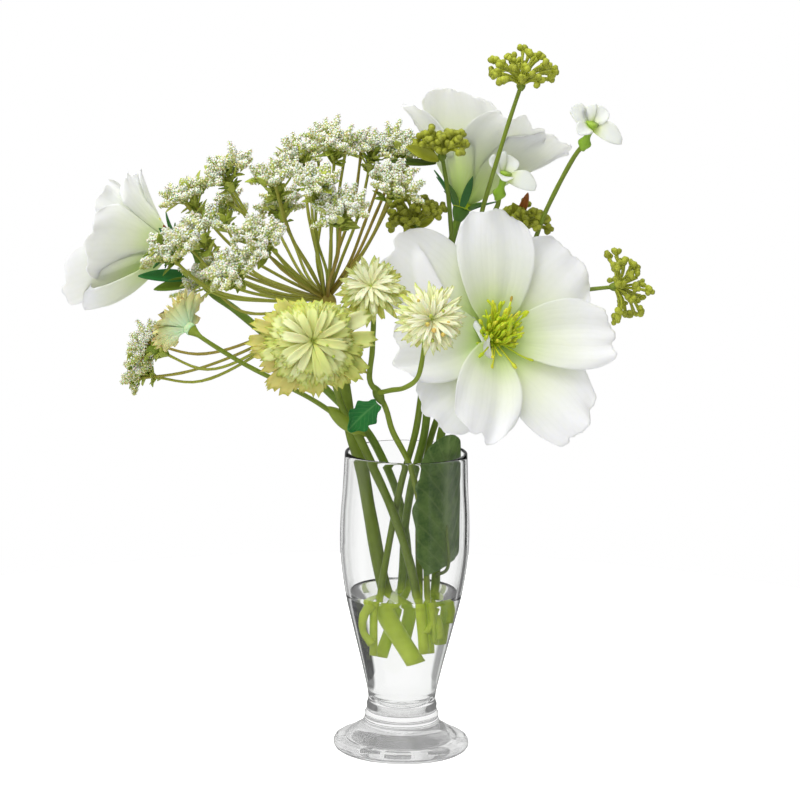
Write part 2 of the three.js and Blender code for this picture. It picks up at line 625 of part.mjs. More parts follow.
// Narrow petals of a star flower on its short tube
function starPetals(star) {
  const place = seat(star.crown, star.faces);
  const tube = turned(place, [[1.4, 0], [2.3, 2.6]], 6);
  const petals = Array.from({ length: star.petals }, (_, i) => {
    const turn = (i + 0.4 * noise(star.seed + i)) * 2 * Math.PI / star.petals;
    const lift = mix(12, 50, noise(star.seed + 9 * i)) * RAD;
    const length = star.length * mix(0.85, 1.1, noise(star.seed + 5 * i));
    const shape = (u, v) => {
      const out = STAR_PETAL.foot + length * u * Math.cos(lift);
      const side = STAR_PETAL.half * Math.sin(Math.PI * (0.12 + 0.76 * u)) * v;
      const rise = STAR_PETAL.rise + length * Math.sin(lift) * (u - 0.3 * u * u);
      return spoke(place, turn, out, side, rise);
    };
    return blade(shape, 2, 1, STAR_PETAL.thick);
  });
  return fuse([tube, ...petals]);
}

// Dark leaf that stands against the inside of the glass, with a notched edge and a short stalk
function vaseLeaf() {
  const { radius, middle, half, low, high, bow, thick, stalkFoot } = VASE_LEAF;
  const shape = (u, v) => {
    const notch = 1 - 0.08 * Math.cos(10 * Math.PI * u) * v * v;
    const spread = half * Math.sin(Math.PI * (0.1 + 0.82 * u)) ** 0.6 * notch;
    const angle = (middle + spread * v) * RAD;
    const r = radius - bow * (1 - v * v) * Math.sin(Math.PI * u);
    return new THREE.Vector3(r * Math.cos(angle), r * Math.sin(angle), mix(low, high, u) - 5 * v * v * u);
  };
  const rib = stalk([point(stalkFoot), shape(0, 0), shape(0.3, 0)], [0.9, 0.7], 5, 4);
  return fuse([blade(shape, 6, 4, thick), rib]);
}

// Small toothed leaf at the fork of the right heads' stem
function smallLeaf() {
  const [base, tip] = [point(SMALL_LEAF.base), point(SMALL_LEAF.tip)];
  const way = tip.clone().sub(base);
  const side = way.clone().cross(point(SMALL_LEAF.side)).normalize();
  const out = side.clone().cross(way).normalize();
  const shape = (u, v) => {
    const teeth = 1 + 0.16 * Math.cos(6 * Math.PI * u) * v * v;
    const half = SMALL_LEAF.width / 2 * Math.sin(Math.PI * (0.1 + 0.86 * u)) * teeth;
    return base.clone().addScaledVector(way, u).addScaledVector(side, half * v)
      .addScaledVector(out, 1.6 * v * v - 2 * Math.sin(Math.PI * u));
  };
  return blade(shape, 6, 2, SMALL_LEAF.thick);
}

// Swelling where branches part
function knot({ place, faces, radius, length }) {
  const profile = [[0, -length / 2], [radius, -length / 6], [radius, length / 6], [0, length / 2]];
  return turned(seat(place, faces), profile, 6);
}

// Stem that forks to two pincushion heads, with a small cup under each
function headStem(stem, forks, knots) {
  const parts = [stalk(...stem)];
  for (const { way, bloom, radius } of forks) {
    const place = seat(bloom.base, bloom.faces);
    parts.push(turned(place, [[radius, -5], [2.4, -2.4], [2.6, -GAP]], 7));
    parts.push(stalk([...way, at(place, 0, 0, -7), at(place, 0, 0, -2)], [radius * 1.15, radius], 6, 8));
  }
  return fuse([...parts, ...knots.map(knot)]);
}

const group = new THREE.Group();

function add(name, body, [colour, roughness], glassy = false) {
  const { vertProperties, triVerts } = body.getMesh();
  const geometry = new THREE.BufferGeometry();
  geometry.setAttribute('position', new THREE.BufferAttribute(Float32Array.from(vertProperties), 3));
  geometry.setIndex(new THREE.BufferAttribute(Uint32Array.from(triVerts), 1));
  geometry.computeVertexNormals();
  const material = new THREE.MeshStandardMaterial({ color: colour, roughness, metalness: 0 });
  if (glassy) Object.assign(material, { transparent: true, opacity: 0.35 });
  const mesh = new THREE.Mesh(geometry, material);
  mesh.name = name;
  group.add(mesh);
}

// Every stem that stands in the water: route, radii at its two ends, sides and steps
const STALKS = {
  lace: [LACE_STEM, [3.4, 2.7], 8, 12],
  leftHeads: [LEFT_HEADS_STEM, [2, 1.9], 6, 9],
  rightHeads: [RIGHT_HEADS_STEM, [1.6, 1.4], 6, 10],
  sprayA: [SPRAY_A_STEM, [1.8, 1.5], 6, 13],
  sprayB: [SPRAY_B_STEM, [1.8, 1.5], 6, 13],
  leftBloom: bloomStalk(BLOOM_LEFT, LEFT_BLOOM_STEM, 1.9),
  backBloom: bloomStalk(BLOOM_BACK, BACK_BLOOM_STEM, 1.9),
  frontBloom: bloomStalk(BLOOM_FRONT, FRONT_BLOOM_STEM, 2),
};

add('vase', glass(), COLOURS.glass, true);
add('water', water(Object.values(STALKS).map((stem) => stalk(...stem, GAP))), COLOURS.water, true);
add('lace_stem', laceStem(), COLOURS.laceStem);
LACE_ENDS.forEach((foot, i) => {
  add(`lace_umbellet_${String(i + 1).padStart(2, '0')}`, umbellet(foot, i), COLOURS.lace);
});
add('bloom_front_petals', bloomPetals(BLOOM_FRONT), COLOURS.petal);
add('bloom_front_centre', bloomCentre(BLOOM_FRONT), COLOURS.stamen);
add('bloom_front_stem', bloomStem(BLOOM_FRONT, FRONT_BLOOM_STEM, 2), COLOURS.bloomStem);
add('bloom_back_petals', bloomPetals(BLOOM_BACK), COLOURS.petal);
add('bloom_back_centre', bloomCentre(BLOOM_BACK), COLOURS.stamen);
add('bloom_back_stem', bloomStem(BLOOM_BACK, BACK_BLOOM_STEM, 1.9), COLOURS.bloomStem);
add('bloom_left_petals', bloomPetals(BLOOM_LEFT), COLOURS.petal);
add('bloom_left_centre', bloomCentre(BLOOM_LEFT), COLOURS.stamen);
add('bloom_left_stem', bloomStem(BLOOM_LEFT, LEFT_BLOOM_STEM, 1.9), COLOURS.bloomStem);
add('head_a', head(HEAD_A), COLOURS.cream);
add('head_c', head(HEAD_C), COLOURS.cream);
add('head_d', head(HEAD_D), COLOURS.cream);
add('head_e', head(HEAD_E), COLOURS.cream);
add('heads_left_stem', headStem(STALKS.leftHeads, LEFT_HEADS_FORKS, LEFT_HEADS_KNOTS),
  COLOURS.creamStem);
add('heads_right_stem', headStem(STALKS.rightHeads, RIGHT_HEADS_FORKS, RIGHT_HEADS_KNOTS),
  COLOURS.creamStem);
add('spray_a', fuse([stalk(...STALKS.sprayA), ...SPRAY_A_UMBELS.flatMap(greenUmbel),
  ...starBranch(STAR_MIDDLE), ...SPRAY_A_KNOTS.map(knot)]), COLOURS.spray);
add('spray_b', fuse([stalk(...STALKS.sprayB), ...SPRAY_B_UMBELS.flatMap(greenUmbel),
  ...starBranch(STAR_RIGHT), ...SPRAY_B_KNOTS.map(knot)]), COLOURS.spray);
add('star_right', starPetals(STAR_RIGHT), COLOURS.star);
add('star_middle', starPetals(STAR_MIDDLE), COLOURS.star);
add('vase_leaf', vaseLeaf(), COLOURS.darkLeaf);
add('small_leaf', smallLeaf(), COLOURS.freshLeaf);

export default group;
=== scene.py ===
import bpy
import numpy as np
from mathutils import Matrix
from numpy import clip, cos, exp, linspace, pi, radians, sin


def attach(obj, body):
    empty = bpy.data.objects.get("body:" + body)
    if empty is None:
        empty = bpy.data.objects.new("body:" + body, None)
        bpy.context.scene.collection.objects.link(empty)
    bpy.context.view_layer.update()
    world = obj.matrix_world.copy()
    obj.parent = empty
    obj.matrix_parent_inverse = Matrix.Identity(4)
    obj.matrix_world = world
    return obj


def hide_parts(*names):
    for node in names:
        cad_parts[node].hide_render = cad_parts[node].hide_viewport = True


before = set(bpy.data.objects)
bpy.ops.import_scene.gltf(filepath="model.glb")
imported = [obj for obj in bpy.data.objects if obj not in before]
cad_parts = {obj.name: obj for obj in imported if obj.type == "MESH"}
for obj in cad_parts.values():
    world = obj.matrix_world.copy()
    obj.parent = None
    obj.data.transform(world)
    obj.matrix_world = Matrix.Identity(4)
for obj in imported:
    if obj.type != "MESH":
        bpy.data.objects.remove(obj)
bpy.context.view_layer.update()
print("frame loaded:", len(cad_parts), "nodes")

mm = 0.001
golden = pi * (3 - 5 ** 0.5)
white = (1, 1, 1, 1)

# shader nodes

signs = {
    "*": "MULTIPLY", "+": "ADD", "-": "SUBTRACT", "^": "POWER",
    "max": "MAXIMUM", "abs": "ABSOLUTE", "sin": "SINE",
}


def feed(tree, node, values):
    # each value linked to its socket of the node, or set on it
    for key, value in values.items():
        if isinstance(value, bpy.types.NodeSocket):
            tree.links.new(value, node.inputs[key])
        else:
            node.inputs[key].default_value = value
    return node


def put(tree, kind, values={}, **settings):
    # new node of a kind with its settings and its inputs
    node = tree.nodes.new("ShaderNode" + kind)
    for key, value in settings.items():
        setattr(node, key, value)
    return feed(tree, node, values)


def calc(tree, sign, a, b=0.0, clamp=False):
    # one math node on two numbers or sockets
    return put(tree, "Math", {0: a, 1: b}, operation=signs[sign], use_clamp=clamp).outputs[0]


def calcLine(tree, x, slope, start):
    # slope times x plus start
    return put(tree, "Math", {0: x, 1: slope, 2: start}, operation="MULTIPLY_ADD").outputs[0]


def mixColours(tree, factor, a, b, blend="MIX"):
    # mix node with its factor and two colours
    return put(tree, "Mix", {0: factor, 6: a, 7: b}, data_type="RGBA", blend_type=blend).outputs[2]


def ramp(tree, factor, stops):
    # colours at places from 0 to 1
    node = put(tree, "ValToRGB", {0: factor})
    elements = node.color_ramp.elements
    while len(elements) < len(stops):
        elements.new(0.5)
    for element, (place, colour) in zip(elements, stops):
        element.position, element.color = place, colour
    return node.outputs[0]


def axisOf(tree, where, axis):
    # one number of the texture coordinate or of a vector
    vector = put(tree, "TexCoord").outputs[where] if isinstance(where, str) else where
    return put(tree, "SeparateXYZ", {0: vector}).outputs[axis]


def mixIntoOutput(tree, factor, a, b):
    # the material's surface: shader a, or b by the factor
    both = put(tree, "MixShader", {0: factor, 1: a.outputs[0], 2: b.outputs[0]})
    feed(tree, tree.nodes["Material Output"], {"Surface": both.outputs[0]})


# camera, floor and light

camera = {"place": (-3.5, -1480, 449), "pitch": 10.424, "roll": 1.0, "lens": 137.5}


def makeCamera():
    # looks along +Y, tipped down by the pitch and rolled a little about its own line of sight
    p, r = radians(camera["pitch"]), radians(camera["roll"])
    ahead = np.array([0, cos(p), -sin(p)])
    above = np.array([0, sin(p), cos(p)])
    right = np.array([cos(r), 0, 0]) + sin(r) * above
    up = cos(r) * above - np.array([sin(r), 0, 0])
    lens = bpy.data.cameras.new("photoCamera")
    lens.lens, lens.sensor_width, lens.clip_end = camera["lens"], 36, 50
    item = bpy.data.objects.new("photoCamera", lens)
    place = np.array(camera["place"]) * mm
    columns = np.stack([right, up, -ahead, place], 1)
    item.matrix_world = Matrix(np.vstack([columns, [0, 0, 0, 1]]).tolist())
    bpy.context.scene.collection.objects.link(item)
    bpy.context.scene.camera = item


studio = {
    "backdrop": 1.0, "world": 0.84, "reflected": 0.25,
    # how bright the surroundings are, from the far left at -1 past straight ahead at 0 to the far right at 1
    "bands": [(-0.97, 1.0), (-0.93, 0.4), (-0.79, 0.4), (-0.74, 0.9), (-0.67, 0.9), (-0.63, 0.36),
              (-0.48, 0.36), (-0.42, 1.0), (0.38, 1.0), (0.43, 0.05), (0.67, 0.05), (0.71, 0.85),
              (0.74, 0.85), (0.79, 0.25), (0.93, 0.25), (0.97, 1.0)],
    "floorBands": [0.2, 0.85],    # how much of them shows on the floor near the foot, and far from it
    "nearAndFar": [0.07, 0.16],   # those two distances in metres
    "aim": (0, 0, 0.17),
    "lights": [
        # name, place in metres, width, height, watts
        ("overheadSoftbox", (-0.35, -0.3, 1.2), 1.0, 1.0, 11),
        ("frontFill", (-0.6, -1.8, 0.7), 1.0, 0.8, 6),
        ("backGlow", (0.4, 1.0, 0.9), 1.2, 0.8, 3.5),
        ("sideGlow", (1.3, -0.1, 0.8), 0.9, 0.9, 1.2),
    ],
}
bandStops = [(place / 2 + 0.5, (grey, grey, grey, 1)) for place, grey in studio["bands"]]


def makeStudio():
    # white surroundings that only grow grey towards the left and right, which draws the edges of the glass
    world = bpy.data.worlds.new("paleStudio")
    world.use_nodes = True
    tree = world.node_tree
    tree.nodes.clear()
    seen = put(tree, "LightPath").outputs
    bands = ramp(tree, calcLine(tree, axisOf(tree, "Generated", "X"), 0.5, 0.5), bandStops)
    colour = mixColours(tree, seen["Is Camera Ray"], bands, white)    # plain white where seen straight
    # what shows in reflections is darker than the light that the object gets
    lit = calcLine(tree, seen["Is Glossy Ray"], studio["reflected"] - studio["world"], studio["world"])
    through = calc(tree, "max", seen["Is Camera Ray"], seen["Is Transmission Ray"])
    strength = put(tree, "Mix", {0: through, 2: lit, 3: studio["backdrop"]}).outputs[0]
    back = put(tree, "Background", {"Color": colour, "Strength": strength})
    put(tree, "OutputWorld", {"Surface": back.outputs[0]})
    bpy.context.scene.world = world
    bpy.context.scene.view_settings.view_transform = "Standard"
    for name, place, width, height, watts in studio["lights"]:
        lamp = bpy.data.lights.new(name, "AREA")
        lamp.shape, lamp.size, lamp.size_y, lamp.energy = "RECTANGLE", width, height, watts
        item = bpy.data.objects.new(name, lamp)
        item.location = place
        item.visible_glossy = name == "backGlow"
        item.visible_transmission = False
        aim = np.array(studio["aim"]) - place
        item.rotation_euler = (np.arccos(-aim[2] / np.linalg.norm(aim)), 0, np.arctan2(-aim[0], aim[1]))
        bpy.context.scene.collection.objects.link(item)


makeCamera()
makeStudio()

# shapes as arrays, in millimetres


def noise(n):
    # fraction left by a large multiple of the sine of n: a seeded draw from 0 to 1
    s = sin(np.asarray(n, float) * 12.9898) * 43758.5453
    return s - np.floor(s)


def mix(a, b, t):
    # a plus the share t of the way to b
    return a + (b - a) * t


def peak(t, at, wide):
    # 1 at a place and less on both sides: e to minus the square of the distance over the width
    return exp(-((t - at) / wide) ** 2)


def arch(t, power=1.0):
    # half a sine wave from 0 to 1, raised to a power
    return sin(pi * t) ** power


def hold(x):
    # kept from 0 to 1
    return clip(x, 0, 1)


def unit(v):
    # a vector over its length
    return v / np.maximum(np.linalg.norm(v, axis=-1, keepdims=True), 1e-9)


def dot(a, b):
    # sum of the products of two vectors' numbers
    return (a * b).sum(-1, keepdims=True)


def leastAxis(way):
    # for each direction, the one of X, Y and Z that it leans to least
    return np.eye(3)[np.abs(way).argmin(-1)]


def numbers(count, axes=2):
    # 0, 1, 2 and so on, with further axes for the places of each copy
    return np.arange(count).reshape(-1, *[1] * (axes - 1))


def grid(rows, cols):
    # shares from 0 to 1 along each blade and from -1 to 1 across it
    return linspace(0, 1, rows)[None, :, None], linspace(-1, 1, cols)[None, None, :]


def seat(origin, faces):
    # origin and three unit directions of a round thing, its axis the way it faces
    axis = unit(np.array(faces, float))
    right = unit(np.array([-axis[1], axis[0], 0]))
    return {"origin": np.array(origin, float), "axis": axis, "right": right, "up": np.cross(axis, right)}


def seatOf(thing):
    # seat of a bloom or head
    return seat(thing["base"], thing["faces"])


def onSeat(place, x, y, h):
    # origin plus x along the right, y along the up and h along the axis
    x, y, h = (n[..., None] for n in np.broadcast_arrays(x, y, h))
    return place["origin"] + x * place["right"] + y * place["up"] + h * place["axis"]


def onAxis(place, h):
    # places up the axis
    return onSeat(place, 0, 0, h)


def spoke(place, angle, out, side, rise):
    # a place at `out` along a spoke at `angle`, `side` to its left and `rise` up the axis
    c, s = cos(angle), sin(angle)
    return onSeat(place, out * c - side * s, out * s + side * c, rise)


def lengthOf(points):
    # running length of a line of points
    return np.r_[0, np.cumsum(np.linalg.norm(np.diff(points, axis=0), axis=1))]


def smoothPath(points, steps, fine=40):
    # centripetal Catmull-Rom curve drawn finely between the points, then read at equal lengths
    p = np.array([np.asarray(q, float) for q in points])
    p = np.vstack([2 * p[0] - p[1], p, 2 * p[-1] - p[-2]])
    gaps = np.maximum(np.linalg.norm(np.diff(p, axis=0), axis=1) ** 0.5, 1e-2)[:, None]
    a, b, c, d = p[:-3], p[1:-2], p[2:-1], p[3:]
    g0, g1, g2 = gaps[:-2], gaps[1:-1], gaps[2:]
    t1 = g1 * ((b - a) / g0 - (c - a) / (g0 + g1) + (c - b) / g1)
    t2 = g1 * ((c - b) / g1 - (d - b) / (g1 + g2) + (d - c) / g2)
    w = linspace(0, 1, fine, endpoint=False)[None, :, None]
    b, c, t1, t2 = (n[:, None] for n in (b, c, t1, t2))
    curve = b + t1 * w + (3 * (c - b) - 2 * t1 - t2) * w ** 2 + (2 * (b - c) + t1 + t2) * w ** 3
    curve = np.vstack([curve.reshape(-1, 3), p[-2]])
    run = lengthOf(curve)
    at = linspace(0, run[-1], steps)
    return np.stack([np.interp(at, run, curve[:, k]) for k in range(3)], 1)


def gridQuads(rows, cols, wrap=False):
    # corner numbers of the squares of a grid of rows by cols points, joined round if it wraps
    i, j = np.meshgrid(np.arange(rows - 1), np.arange(cols if wrap else cols - 1), indexing="ij")
    k = (j + 1) % cols
    return np.stack([i * cols + j, i * cols + k, (i + 1) * cols + k, (i + 1) * cols + j], -1).reshape(-1, 4)


def makePart(points, quads, tris, uv, tone, slot):
    # points of many copies with the faces of one, repeated for each copy and turned to face outwards
    copies, each = points.shape[:2]
    p = points[0] - points[0].mean(0)
    corners = [quads[:, :3], quads[:, [0, 2, 3]], tris]
    volume = sum(dot(p[f[:, 0]], np.cross(p[f[:, 1]], p[f[:, 2]])).sum() for f in corners)    # six times it
    if volume < 0:
        quads, tris = quads[:, ::-1], tris[:, ::-1]
    step = (np.arange(copies) * each)[:, None, None]
    return {
        "points": points.reshape(-1, 3), "quads": (quads[None] + step).reshape(-1, 4),
        "tris": (tris[None] + step).reshape(-1, 3),
        "uv": np.broadcast_to(uv, (copies, each, 2)).reshape(-1, 2),
        "tone": np.broadcast_to(tone, (copies, each)).reshape(-1), "slot": slot,
    }


def blade(middle, thick, slot=0, tone=0.0):
    # thin shells: each middle grid pushed half the thickness both ways along its normal, closed round the rim
    copies, rows, cols = middle.shape[:3]
    normal = unit(np.cross(np.gradient(middle, axis=1), np.gradient(middle, axis=2)))
    half = np.broadcast_to(thick, (copies, rows, cols))[..., None] / 2
    points = np.concatenate([middle + normal * half, middle - normal * half], 1).reshape(copies, -1, 3)
    face, under = gridQuads(rows, cols), rows * cols
    i, j = np.arange(rows), np.arange(cols)
    rim = np.r_[i * cols, (rows - 1) * cols + j[1:], (i[::-1] * cols + cols - 1)[1:], j[::-1][1:]]
    a, b = rim[:-1], rim[1:]
    quads = np.vstack([face[:, ::-1], face + under, np.stack([a + under, b + under, b, a], 1)])
    u, v = np.meshgrid(linspace(0, 1, rows), linspace(0, 1, cols), indexing="ij")
    uv = np.tile(np.stack([v.ravel(), u.ravel()], 1), (2, 1))
    tone = np.asarray(tone, float)    # one for all, one for each copy or one for each point
    tone = np.broadcast_to(tone.reshape(-1, under if tone.size == copies * under else 1), (copies, under))
    return makePart(points, quads, np.zeros((0, 3), int), uv, np.tile(tone, (1, 2)), slot)


def fans(rows, sides):
    # triangles that close both ends of a wrapped grid, drawn to the two points that follow it
    k, last = np.arange(sides), rows * sides
    n = (k + 1) % sides
    low = np.stack([0 * k + last, n, k], 1)
    high = np.stack([last - sides + k, last - sides + n, 0 * k + last + 1], 1)
    return np.vstack([low, high])


def tube(path, radius, sides, slot=0, tone=0.0):
    # rings of the given radii carried along each path on a frame that doesn't twist, closed at both ends
    copies, rows = path.shape[:2]
    tangent = unit(np.gradient(path, axis=1))
    normal = np.zeros_like(path)
    normal[:, 0] = unit(np.cross(tangent[:, 0], leastAxis(tangent[:, 0])))
    for k in range(1, rows):
        normal[:, k] = unit(normal[:, k - 1] - dot(normal[:, k - 1], tangent[:, k]) * tangent[:, k])
    k = np.arange(sides)
    angle = k * 2 * pi / sides
    radius = np.broadcast_to(radius, (copies, rows))[..., None, None]
    side = np.cross(tangent, normal)[:, :, None]
    ring = cos(angle)[:, None] * normal[:, :, None] + sin(angle)[:, None] * side
    points = (path[:, :, None] + radius * ring).reshape(copies, -1, 3)
    points = np.concatenate([points, path[:, :1], path[:, -1:]], 1)
    uv = np.stack([np.tile(np.abs(2 * k / sides - 1), rows), np.repeat(linspace(0, 1, rows), sides)], 1)
    uv, tone = np.vstack([uv, [[0.5, 0], [0.5, 1]]]), np.asarray(tone, float).reshape(-1, 1)
    return makePart(points, gridQuads(rows, sides, True), fans(rows, sides), uv, tone, slot)


def lathe(profile, sides):
    # radii and heights turned round the Z axis; both ends of the outline lie on the axis
    profile = np.array(profile, float)
    angle = np.arange(sides) * 2 * pi / sides
    r, z = profile[1:-1].T[..., None]
    points = np.stack(np.broadcast_arrays(r * cos(angle), r * sin(angle), z), -1).reshape(-1, 3)
    points = np.vstack([points, [0, 0, profile[0, 1]], [0, 0, profile[-1, 1]]])
    return makePart(points[None], gridQuads(len(r), sides, True), fans(len(r), sides), 0, 0, 0)


def smoothOutline(points, steps):
    # centripetal curve through [radius, height] pairs
    return smoothPath([[r, z, 0] for r, z in points], steps)[:, :2]


def addPiece(name, parts, materials, node):
    # one mesh object from all its parts, smooth shaded, riding on the body and standing for its node
    base = np.r_[0, np.cumsum([len(p["points"]) for p in parts])]
    points, uv, tone = (np.concatenate([p[key] for p in parts]) for key in ("points", "uv", "tone"))
    quads, tris = (np.vstack([p[key] + start for p, start in zip(parts, base)]) for key in ("quads", "tris"))
    worn = np.concatenate([np.full(len(p[key]), p["slot"]) for key in ("quads", "tris") for p in parts])
    mesh = bpy.data.meshes.new(name)
    mesh.from_pydata((points * mm).tolist(), [], quads.tolist() + tris.tolist())
    corners = np.zeros(len(mesh.loops), int)
    mesh.loops.foreach_get("vertex_index", corners)
    mesh.uv_layers.new(name="pieceUv").data.foreach_set("uv", uv[corners].ravel())
    mesh.attributes.new("tone", "FLOAT", "POINT").data.foreach_set("value", tone)
    mesh.polygons.foreach_set("material_index", worn.astype(np.int32))
    mesh.polygons.foreach_set("use_smooth", np.ones(len(worn), bool))
    for material in materials:
        mesh.materials.append(material)
    mesh.update()
    item = bpy.data.objects.new(name, mesh)
    bpy.context.scene.collection.objects.link(item)
    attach(item, "root")
    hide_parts(node)


# materials


def rgb(r, g, b):
    # screen colour of 0 to 255 turned into linear light
    return (*(((c / 255 + 0.055) / 1.055) ** 2.4 if c > 10 else c / 3294.6 for c in (r, g, b)), 1.0)


def stopsOf(stops):
    # places and linear colours of a ramp from places and screen colours
    return [(at, rgb(*colour)) for at, *colour in stops]


def mixed(a, b, t):
    # plain mix of two colours
    return tuple(mix(p, q, t) for p, q in zip(a, b))


def nodeGroup(name, inputs, outputs):
    # empty shader group with its named sockets, the outlets of its start, and its end
    group = bpy.data.node_groups.new(name, "ShaderNodeTree")
    for way, sockets in (("INPUT", inputs), ("OUTPUT", outputs)):
        for label, kind in sockets.items():
            group.interface.new_socket(label, in_out=way, socket_type="NodeSocket" + kind)
    return group, group.nodes.new("NodeGroupInput").outputs, group.nodes.new("NodeGroupOutput")


def makeMottle():
    # two sizes of cloudy noise that mix a base colour towards a second, and their sum as a height
    group, start, end = nodeGroup(
        "mottledDye", {"Base": "Color", "Second": "Color", "Scale": "Float", "Amount": "Float"},
        {"Colour": "Color", "Height": "Float"})
    where = put(group, "TexCoord").outputs["Object"]
    cloud = put(group, "TexNoise", {"Vector": where, "Scale": start["Scale"], "Detail": 4}).outputs[0]
    fine = calc(group, "*", start["Scale"], 7.0)
    grain = put(group, "TexNoise", {"Vector": where, "Scale": fine}).outputs[0]
    both = calc(group, "+", cloud, calc(group, "*", grain, 0.4))
    spread = calc(group, "*", calc(group, "-", both, 0.45), 2.2, True)
    share = calc(group, "*", spread, start["Amount"])
    feed(group, end, {"Colour": mixColours(group, share, start["Base"], start["Second"]), "Height": both})
    return group


def makeVeins():
    # thin lines along a petal or leaf: a sine of the place across, wavered by noise, sharpened by a power
    group, start, end = nodeGroup(
        "lengthwiseVeins", {"Count": "Float", "Waver": "Float"},
        {"Mask": "Float", "Along": "Float", "Across": "Float"})
    uv = put(group, "UVMap", uv_map="pieceUv").outputs[0]
    place = put(group, "SeparateXYZ", {0: uv}).outputs
    cloud = put(group, "TexNoise", {"Vector": uv, "Scale": 5}).outputs[0]
    drift = calc(group, "*", calc(group, "-", cloud, 0.5), start["Waver"])
    turn = calc(group, "*", calc(group, "*", calc(group, "+", place["X"], drift), start["Count"]), pi)
    line = calc(group, "^", calc(group, "abs", calc(group, "sin", turn)), 5.0)
    feed(group, end, {"Mask": line, "Along": place["Y"], "Across": place["X"]})
    return group


mottledDye = makeMottle()
lengthwiseVeins = makeVeins()


def useGroup(tree, group, **values):
    # outlets of a group placed in a material with its own values
    return put(tree, "Group", values, node_tree=group).outputs


def newMaterial(name, **settings):
    # empty material, its tree, and its Principled shader with the plain settings on its own sockets
    material = bpy.data.materials.new(name)
    material.use_nodes = True
    tree = material.node_tree
    named = {label.replace("_", " "): value for label, value in settings.items()}
    return material, tree, feed(tree, tree.nodes["Principled BSDF"], named)


def finishMaterial(tree, shader, colour, height, strength, distance=0.3):
    # the colour on the shader, and a height turned into its normal
    bump = put(tree, "Bump", {"Strength": strength, "Distance": distance * mm, "Height": height})
    feed(tree, shader, {"Base Color": colour, "Normal": bump.outputs[0]})


def toneOf(tree):
    # the piece's own tone attribute
    return put(tree, "Attribute", attribute_name="tone").outputs["Fac"]


def makePetalMaterial(name, throat, reach, spread=0.22, tip=(0.99, 0.99, 0.99, 1)):
    # white cloth with a lime throat that fades along the petal, faint veins and a soft weave
    material, tree, shader = newMaterial(
        name, Roughness=0.62, Sheen_Weight=0.15,
        Subsurface_Weight=0.5, Subsurface_Scale=0.002, Subsurface_Radius=(1.0, 1.0, 0.7))
    veins = useGroup(tree, lengthwiseVeins, Count=13.0, Waver=0.1)
    cloth = useGroup(
        tree, mottledDye, Base=rgb(254, 254, 254), Second=rgb(246, 247, 247), Scale=60.0, Amount=0.6)
    green = ramp(tree, veins["Along"], [
        (0, throat), (reach * spread, mixed(throat, rgb(228, 240, 190), 0.5)),
        (reach * (spread + 0.33), rgb(233, 240, 212)),
        (reach, mixed(tip, rgb(232, 238, 222), 0.25)), (1, tip)])
    base = mixColours(tree, 1.0, cloth["Colour"], green, "MULTIPLY")
    base = mixColours(tree, calc(tree, "*", veins["Mask"], 0.06), base, rgb(220, 226, 206))
    # painted highlight: where the tone marks the pleat, the cloth is painted whiter as if the fold caught the
    # light; the frill's tone paints it nearly as white
    base = mixColours(tree, toneOf(tree), base, rgb(254, 254, 254))
    height = calc(tree, "+", calc(tree, "*", veins["Mask"], -0.4), calc(tree, "*", cloth["Height"], 0.35))
    finishMaterial(tree, shader, base, height, 0.2)
    return material


def belowWater(tree):
    # most of it below the water and 0 from 4 mm above it: the height in metres on a falling line
    fall = {"From Min": 0.074, "From Max": 0.084, "To Min": 0.85, "To Max": 0.0}
    return put(tree, "MapRange", {"Value": axisOf(tree, "Object", "Z"), **fall}).outputs[0]


def makeToneMaterial(name, stops, second, along=None, litUnderWater=None, amount=0.35, rough=0.5, bump=0.25, soft=0.0):
    # dyed plastic or cloth coloured by the piece's tone, mottled, and darker or paler along its length, and if
    # given painted a brighter lime below the water as painted light
    material, tree, shader = newMaterial(
        name, Roughness=rough, Subsurface_Weight=soft, Subsurface_Scale=0.0015)
    base = ramp(tree, toneOf(tree), stopsOf(stops))
    if along:
        veins = useGroup(tree, lengthwiseVeins, Count=6.0, Waver=0.05)
        base = mixColours(tree, 1.0, base, ramp(tree, veins["Along"], stopsOf(along)), "MULTIPLY")
    # painted light: below the water the colour is painted towards a brighter lime, for how the stem looks lit
    # through the water
    if litUnderWater:
        base = mixColours(tree, belowWater(tree), base, rgb(*litUnderWater))
    darker = mixColours(tree, 1.0, base, rgb(*second), "MULTIPLY")
    dye = useGroup(tree, mottledDye, Base=base, Second=darker, Scale=260.0, Amount=amount)
    finishMaterial(tree, shader, dye["Colour"], dye["Height"], bump)
    return material


def makeLeafMaterial(name, dark, light, vein):
    # two greens in cloudy patches with a pale rib and side veins that slope forward
    material, tree, shader = newMaterial(name, Roughness=0.45)
    veins = useGroup(tree, lengthwiseVeins, Count=1.0, Waver=0.02)
    dye = useGroup(tree, mottledDye, Base=dark, Second=light, Scale=120.0, Amount=1.0)
    offset = calc(tree, "abs", calc(tree, "-", veins["Across"], 0.5))
    rib = calc(tree, "-", 1.0, calc(tree, "*", offset, 14.0), True)
    slope = calc(tree, "-", calc(tree, "*", veins["Along"], 7.0), calc(tree, "*", offset, 5.0))
    side = calc(tree, "^", calc(tree, "abs", calc(tree, "sin", calc(tree, "*", slope, pi))), 28.0)
    lines = calc(tree, "max", rib, calc(tree, "*", side, 0.55))
    base = mixColours(tree, calc(tree, "*", lines, 0.5), dye["Colour"], vein)
    finishMaterial(tree, shader, base, calc(tree, "+", calc(tree, "*", lines, -0.8), dye["Height"]), 0.4, 0.5)
    return material


